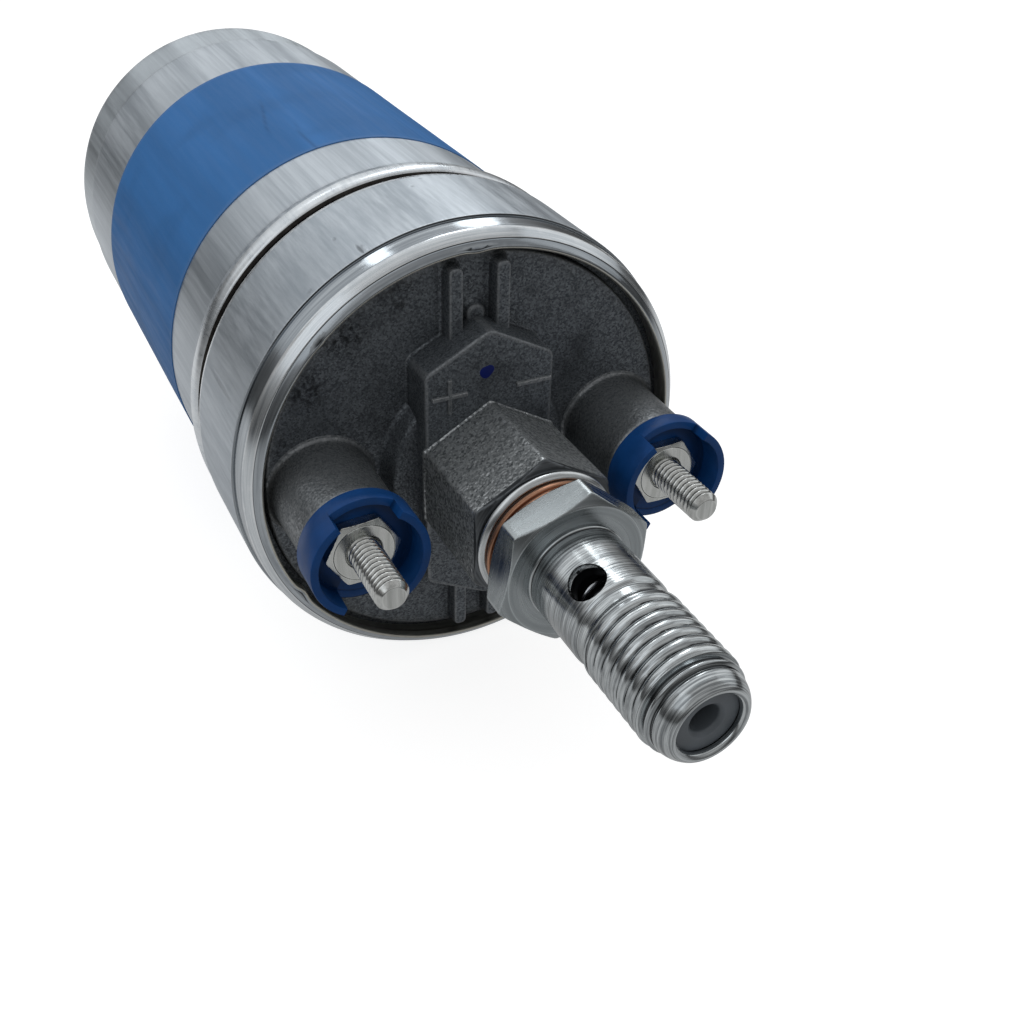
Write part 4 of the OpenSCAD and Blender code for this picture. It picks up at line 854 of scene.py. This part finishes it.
def makeGuide():
    rear, front, outer = station("nylon_guide")
    line = bend([(1.65, rear), (outer - 1.2, rear, 0.2), (outer, rear + 1.2, 0.3), (outer, front, 0.1),
                 (2.1, front, 0.12), (1.65, front - 0.35, 0.2)], closed=True, longest=1.0)
    makePiece("nylon_disc", turn(line), "nylon", ["nylon_guide"])


hexRear = station("copper_washer")[1]
hexFront = hexRear + 4.3
makeHexagon(hexRear, hexFront)
drillThrough(makeShank(hexRear, hexFront), hexFront + fitting["holeAt"])
makeWashers()
makeGuide()
print("fitting made")

# Terminals

terminal = {
    "studR": 2.0,
    "studDepth": 0.36,
    "studPitch": 0.72,
    "nutFlats": 7.9,
    "nutThick": 1.5,
    "nutTurn": {"positive": 3.4, "negative": 1.7},
    "notch": (90, 32.5, 2.5),  # direction, half angle and depth of the cup's upper notch
    "slot": (-92.5, 28),  # direction and half angle of its lower slot
}


def makeStud(pole, centre):
    rear, front, _ = station(pole + "_stud")
    r = terminal["studR"]
    line = bend([(0.02, rear), (3.5, rear, 0.2), (3.5, rear + 2, 0.2), (r, rear + 2, 0.05), (r, front - 9.4, 0),
                 (r, front - 0.7, 0.1), (r - 0.62, front, 0.12), (0.02, front)], longest=0.09)
    rows = threadOn(turn(line, 56, centre), terminal["studDepth"], r, terminal["studPitch"], front - 10.4,
                    front - 0.3, centre, shape=0.7)
    makePiece(pole + "_screw", rows, "studs", [pole + "_stud"], loop=False)


def makeNut(pole, centre):
    front = station(pole + "_nut")[1]
    rear, flats = front - terminal["nutThick"], terminal["nutFlats"]
    corner, rim = flats / math.sqrt(3), flats / 2 - 0.35
    line = bend([(2.05, rear, 0), (flats / 2, rear, 0), (corner + 0.1, rear + 0.3, 0), (corner + 0.1, front - 0.3, 0),
                 (rim + 0.06, front - 0.03, 0), (rim, front - 0.1, 0), (rim - 0.06, front, 0),
                 (2.25, front, 0), (2.05, front - 0.2, 0)], longest=0.1)
    rows = hexRows(flats, terminal["nutTurn"][pole], line, 144, centre)
    makePiece(pole + "_thin_nut", rows, "nuts", [pole + "_nut"])


# The height of the cup's wall is a function of the angle, with close columns at the ends of each notch.
def makeCup(pole, centre):
    rear, front, outer = station(pole + "_cup")
    bottom, floorZ = cover["terminalTop"], station(pole + "_nut")[1] - terminal["nutThick"]
    inner = outer - 1.0
    upper, half, depth = terminal["notch"]
    lower, lowerHalf = terminal["slot"]
    ends = [upper - half, upper + half, lower - lowerHalf, lower + lowerHalf]
    close = {(end + d) % 360 for end in ends for d in (-1.8, -0.9, -0.25, 0.25, 0.9, 1.8)}
    a = np.radians(np.array(sorted(set(np.arange(0, 360, 3.0).tolist()) | close)))

    def within(middle, reach):
        off = np.abs((np.degrees(a) - middle + 180) % 360 - 180)
        return np.clip((reach - off) / 0.5 + 0.5, 0, 1)

    top = front - depth * within(upper, half)
    top = top + (floorZ + 0.02 - top) * within(lower, lowerHalf)
    # radius, share of the wall's height, and millimetres above that
    flat = np.array([[2.03, 0, 0], [inner - 0.25, 0, 0], [inner, 0.03, 0.25], [inner, 0.15, 0.3],
                     [inner, 0.97, -0.08], [inner + 0.06, 1, -0.02], [inner + 0.16, 1, 0], [outer - 0.16, 1, 0],
                     [outer - 0.05, 1, -0.03], [outer, 0.98, -0.1], [outer, 0.3, 0], [outer, 0, -0.7],
                     [outer - 0.1, 0, -0.92], [outer - 0.3, 0, -1.0], [3.12, 0, -1.0]])
    r, share, more = flat.T[..., None]
    z = floorZ + share * (top - floorZ)[None] + np.where(share > 0.5, np.minimum(more, 0), more)
    z = np.where((share > 0) & (share < 0.5) & (top[None] < floorZ + 0.5), floorZ + share * 0.02, z)
    # the sleeve between the stud and its boss
    sleeve = np.array([[3.1, bottom - 0.2], [3.1, rear + 0.3], [2.9, rear], [2.03, rear]])
    rows = np.concatenate([around(r + 0 * a, a, z, centre), around(sleeve[:, :1], a, sleeve[:, 1:], centre)])[::-1]
    makePiece(pole + "_socket", rows, "cup", [pole + "_cup"], sharp=40)


for pole, side in (("positive", -1), ("negative", 1)):
    for makeOne in (makeStud, makeNut, makeCup):
        makeOne(pole, (side * terminalX, 0))
print("terminals made")

# Inlet end

inlet = {"bore": 5.2, "spigot": 7.5, "bead": 8.1}


def makeInlet():
    rear, front, _ = station("inlet_cover")
    foot, bore, spigot, bead = housingRear - 4, inlet["bore"], inlet["spigot"], inlet["bead"]
    line = bend([(bore, rear, 0.3), (spigot - 0.8, rear, 0.3), (bead, rear + 2.6, 0.7), (bead, rear + 3.6, 0.6),
                 (spigot, rear + 5, 0.6), (spigot, foot - 0.6, 0.6), (8.1, foot, 0.4), (10.5, foot, 0.5),
                 (11.0, foot + 2, 0.6), (12.2, foot + 3, 0.8), (21.0, foot + 3, 0.5), (21.9, foot + 3.6, 0.3),
                 (21.9, housingRear + 1.8, 0.1)] + arcPoints(housingRear + 5.8, 4.0, -90, 0, 7)
                + above(front, [(26.4, -3.6, 0.1), (24.6, -3.6, 0.1), (24.6, -1.2, 0.1), (26.4, -1.2, 0.1),
                                (26.4, 0, 0.2), (20, 0, 0.2), (20, -5.5, 0.8), (bore, -5.5, 0.3)]),
                closed=True, longest=1.5)
    makePiece("inlet_casting", turn(line, 160), "inlet", ["inlet_cover"])


makeInlet()
print("inlet made")

# Springs

springs = {  # node: radius of the coil and of the wire, turns, joint, and its travel
    "check_spring": (2.65, 0.35, 6, "check_valve_lift", 2.0),
    "relief_spring": (1.8, 0.3, 4, "relief_valve_lift", 1.5),
    "brush_spring_positive": (2.0, 0.25, 6, "brush_positive_slide", 2.0),
    "brush_spring_negative": (2.0, 0.25, 6, "brush_negative_slide", 2.0),
}


# A round wire: at each point of the path a circle square to the path, turned as little as can be.
def wireAlong(path, radius, sides=12):
    ahead = unit(np.gradient(path, axis=0))
    side = np.zeros_like(path)
    side[0] = unit(np.cross(ahead[0], (0.3, 0.8, 0.1)))  # any direction off the wire's own
    for i in range(1, len(path)):
        side[i] = unit(side[i - 1] - ahead[i] * (side[i - 1] @ ahead[i]))
    up, a = np.cross(ahead, side), anglesOf(sides)[:, None]
    return path[:, None] + radius * (side[:, None] * np.cos(a) + up[:, None] * np.sin(a))


def makeSpring(node, coil, wire, turns, jointName, travel, perTurn=36):
    low, high = (np.array(c) * 1000 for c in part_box(node))
    middle, size = (low + high) / 2, high - low
    length = size.max()
    t = np.linspace(0, 1, turns * perTurn + 1)
    swing = t * turns * 2 * math.pi
    helix = np.stack([coil * np.cos(swing), coil * np.sin(swing), 2 * wire + (length - 4 * wire) * t], 1)
    ends = np.linspace(0, 1, 5)[:-1]  # the wire's ends drop to the seats
    start, stop = (np.stack([coil + 0 * ends, 0 * ends, z], 1)
                   for z in (ends * 1.6 * wire, length - ends[::-1] * 1.6 * wire))
    rows = wireAlong(np.vstack([start, helix, stop]), wire)
    # the coil is drawn along z, then laid along the axis that the node is longest in
    if np.argmax(size) == 1:
        rows = rows + (middle[0], middle[2], -high[1])
    else:
        outward = 1 if middle[0] > 0 else -1
        rows = np.stack([outward * (rows[..., 2] + min(abs(low[0]), abs(high[0]))), rows[..., 0] * outward,
                         rows[..., 1] - middle[1]], -1)
    piece = makePiece(node.replace("spring", "coil"), rows, "wire", [node], loop=False, edge=0)
    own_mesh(piece)


for node, spec in springs.items():
    makeSpring(node, *spec)
print("springs made")

# Inner pieces keep their solids and take their finish here

innerFinish = {
    "rubber": ["cover_seal", "inlet_seal"],
    "paleNylon": ["thrust_washers"],
    # the poppet behind the cross hole is painted near black, as shade
    "nylonPaintedShade": ["check_poppet"],
    "laminate": ["stud_washers", "brush_plate"],
    "brass": ["inlet_strainer", "relief_plug", "brush_tube_positive", "brush_tube_negative"],
    "ground": ["base_plate", "pump_ring", "port_plate", "rotor", "roller_1", "roller_2", "roller_3", "roller_4",
               "roller_5", "relief_ball", "armature_shaft", "drive_pin"],
    "studs": ["pump_screws", "magnet_clips"],
    "core": ["lamination_stack", "flux_ring"],
    "enamel": ["armature_winding", "noise_chokes"],
    "copper": ["commutator", "brush_leads"],
    "bronze": ["front_bearing", "rear_bearing"],
    "ferrite": ["magnet_upper", "magnet_lower"],
    "carbon": ["brush_positive", "brush_negative"],
}
for key, nodes in innerFinish.items():
    for node in nodes:
        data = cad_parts[node].data
        data.materials.clear()
        data.materials.append(finish[key])
print("inner pieces dressed")

# Stage, lights and camera

studio = {
    "floorHalf": 3.0,
    "floorGap": 0.0002,  # keeps the floor just clear of the pump
    "floorTone": (0.34, 0.07),  # colour near the pump and far from it
    "floorNear": (0.16, 0.42),  # where it changes, as distances from the middle
    "floorGlow": 0.84,
    "floorMirror": (0.16, 0.58),  # how much more a mirror sees of the near floor, before and behind the pump
    "ambient": 0.55,
    "mirror": (0.12, 0.45),  # how bright a mirror sees the room, at the horizon and overhead
    "lamps": [  # place in metres, size in metres, power in watts, colour
        ((-0.05, 0.4, 0.65), 1.4, 2.5, (0.93, 0.97, 1.0)),
        ((0.307, 0.533, 0.38), 0.12, 0.15, (0.96, 0.99, 1.0)),
        ((-0.083, 0.528, 0.495), 0.09, 0.085, (0.96, 0.99, 1.0)),
        ((0.7, 0.0, 0.4), 0.6, 0.5, (0.95, 0.98, 1.0)),
        ((0.18, 0.34, 0.53), 0.17, 0.36, (0.96, 0.99, 1.0)),
        ((-0.55, -0.3, 0.5), 0.5, 0.4, (0.9, 0.95, 1.0)),
    ],
    "cameraPlace": (-0.054297, -0.12659, 0.079522),
    "cameraAhead": (0.38076, 0.72664, -0.57186),
    "cameraDown": (-0.23626, -0.52147, -0.81991),
    "lens": 41.76,
}


def rays(g):  # what the camera sees, itself or through glass, and what a mirror sees
    path = g.put("LightPath").outputs
    return g.plus(path["Is Camera Ray"], path["Is Transmission Ray"], True), path["Is Glossy Ray"]


def makeStage():
    half, z = studio["floorHalf"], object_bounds()[0][2] - studio["floorGap"]
    mesh = bpy.data.meshes.new("floor")
    mesh.from_pydata([(-half, -half, z), (half, -half, z), (half, half, z), (-half, half, z)], [], [(0, 1, 2, 3)])
    floor = bpy.data.objects.new("floor", mesh)
    scene.collection.objects.link(floor)
    g, where, _ = newFinish("pale floor", Roughness=0.7, Emission_Color=(1, 1, 1, 1))
    seen, glossy = rays(g)
    far = g.spread(g.length(where), *studio["floorNear"])
    g.give(g.shader.inputs["Base Color"], g.mix(far, *[(tone,) * 3 for tone in studio["floorTone"]]))
    # the far floor is darker in mirrors and by itself, and glows to white for the camera
    white = g.plus(g.times(far, 1.0 - studio["floorGlow"]), studio["floorGlow"])
    mirrored = g.times(g.minus(1.0, far), g.spread(g.split(where)[1], -0.15, 0.25, *studio["floorMirror"]))
    g.give(g.shader.inputs["Emission Strength"], g.plus(g.times(seen, white), g.times(glossy, mirrored)))
    mesh.materials.append(g.material)


def makeWorld():
    world = bpy.data.worlds.new("studio")
    scene.world = world
    world.use_nodes = True
    g = Graph(world.node_tree)
    sky = g.tree.nodes["Background"].inputs
    seen, glossy = rays(g)
    plain = g.put("MapRange", Value=seen, To_Min=studio["ambient"], To_Max=1.0).outputs[0]
    # a mirror sees a darker band round the horizon, as the walls of a room
    height = g.split(g.put("TexCoord").outputs["Generated"])[2]
    mirrored = g.spread(height, 0.08, 0.42, *studio["mirror"])
    g.give(sky["Color"], (1, 1, 1, 1))
    g.give(sky["Strength"], g.put("Mix", {"data_type": "FLOAT"}, i0=glossy, i2=plain, i3=mirrored).outputs[0])


def makeLamps():
    for i, (place, size, power, colour) in enumerate(studio["lamps"]):
        data = bpy.data.lights.new("lamp%d" % (i + 1), "AREA")
        data.size, data.energy, data.color = size, power, colour
        lamp = bpy.data.objects.new(data.name, data)
        lamp.location = place
        lamp.rotation_euler = (-Vector(place)).to_track_quat("-Z", "Y").to_euler()
        scene.collection.objects.link(lamp)


def makeCamera():
    ahead, down = Vector(studio["cameraAhead"]).normalized(), Vector(studio["cameraDown"]).normalized()
    right = down.cross(ahead).normalized()
    up = right.cross(ahead).normalized()
    data = bpy.data.cameras.new("camera")
    data.lens, data.sensor_width, data.clip_start = studio["lens"], 36.0, 0.005
    camera = bpy.data.objects.new("camera", data)
    turned = Matrix((right, up, -ahead)).transposed().to_4x4()
    camera.matrix_world = Matrix.Translation(studio["cameraPlace"]) @ turned
    scene.collection.objects.link(camera)
    scene.camera = camera


makeStage()
makeWorld()
makeLamps()
makeCamera()
scene.view_settings.view_transform = "Standard"

print("scene ready")
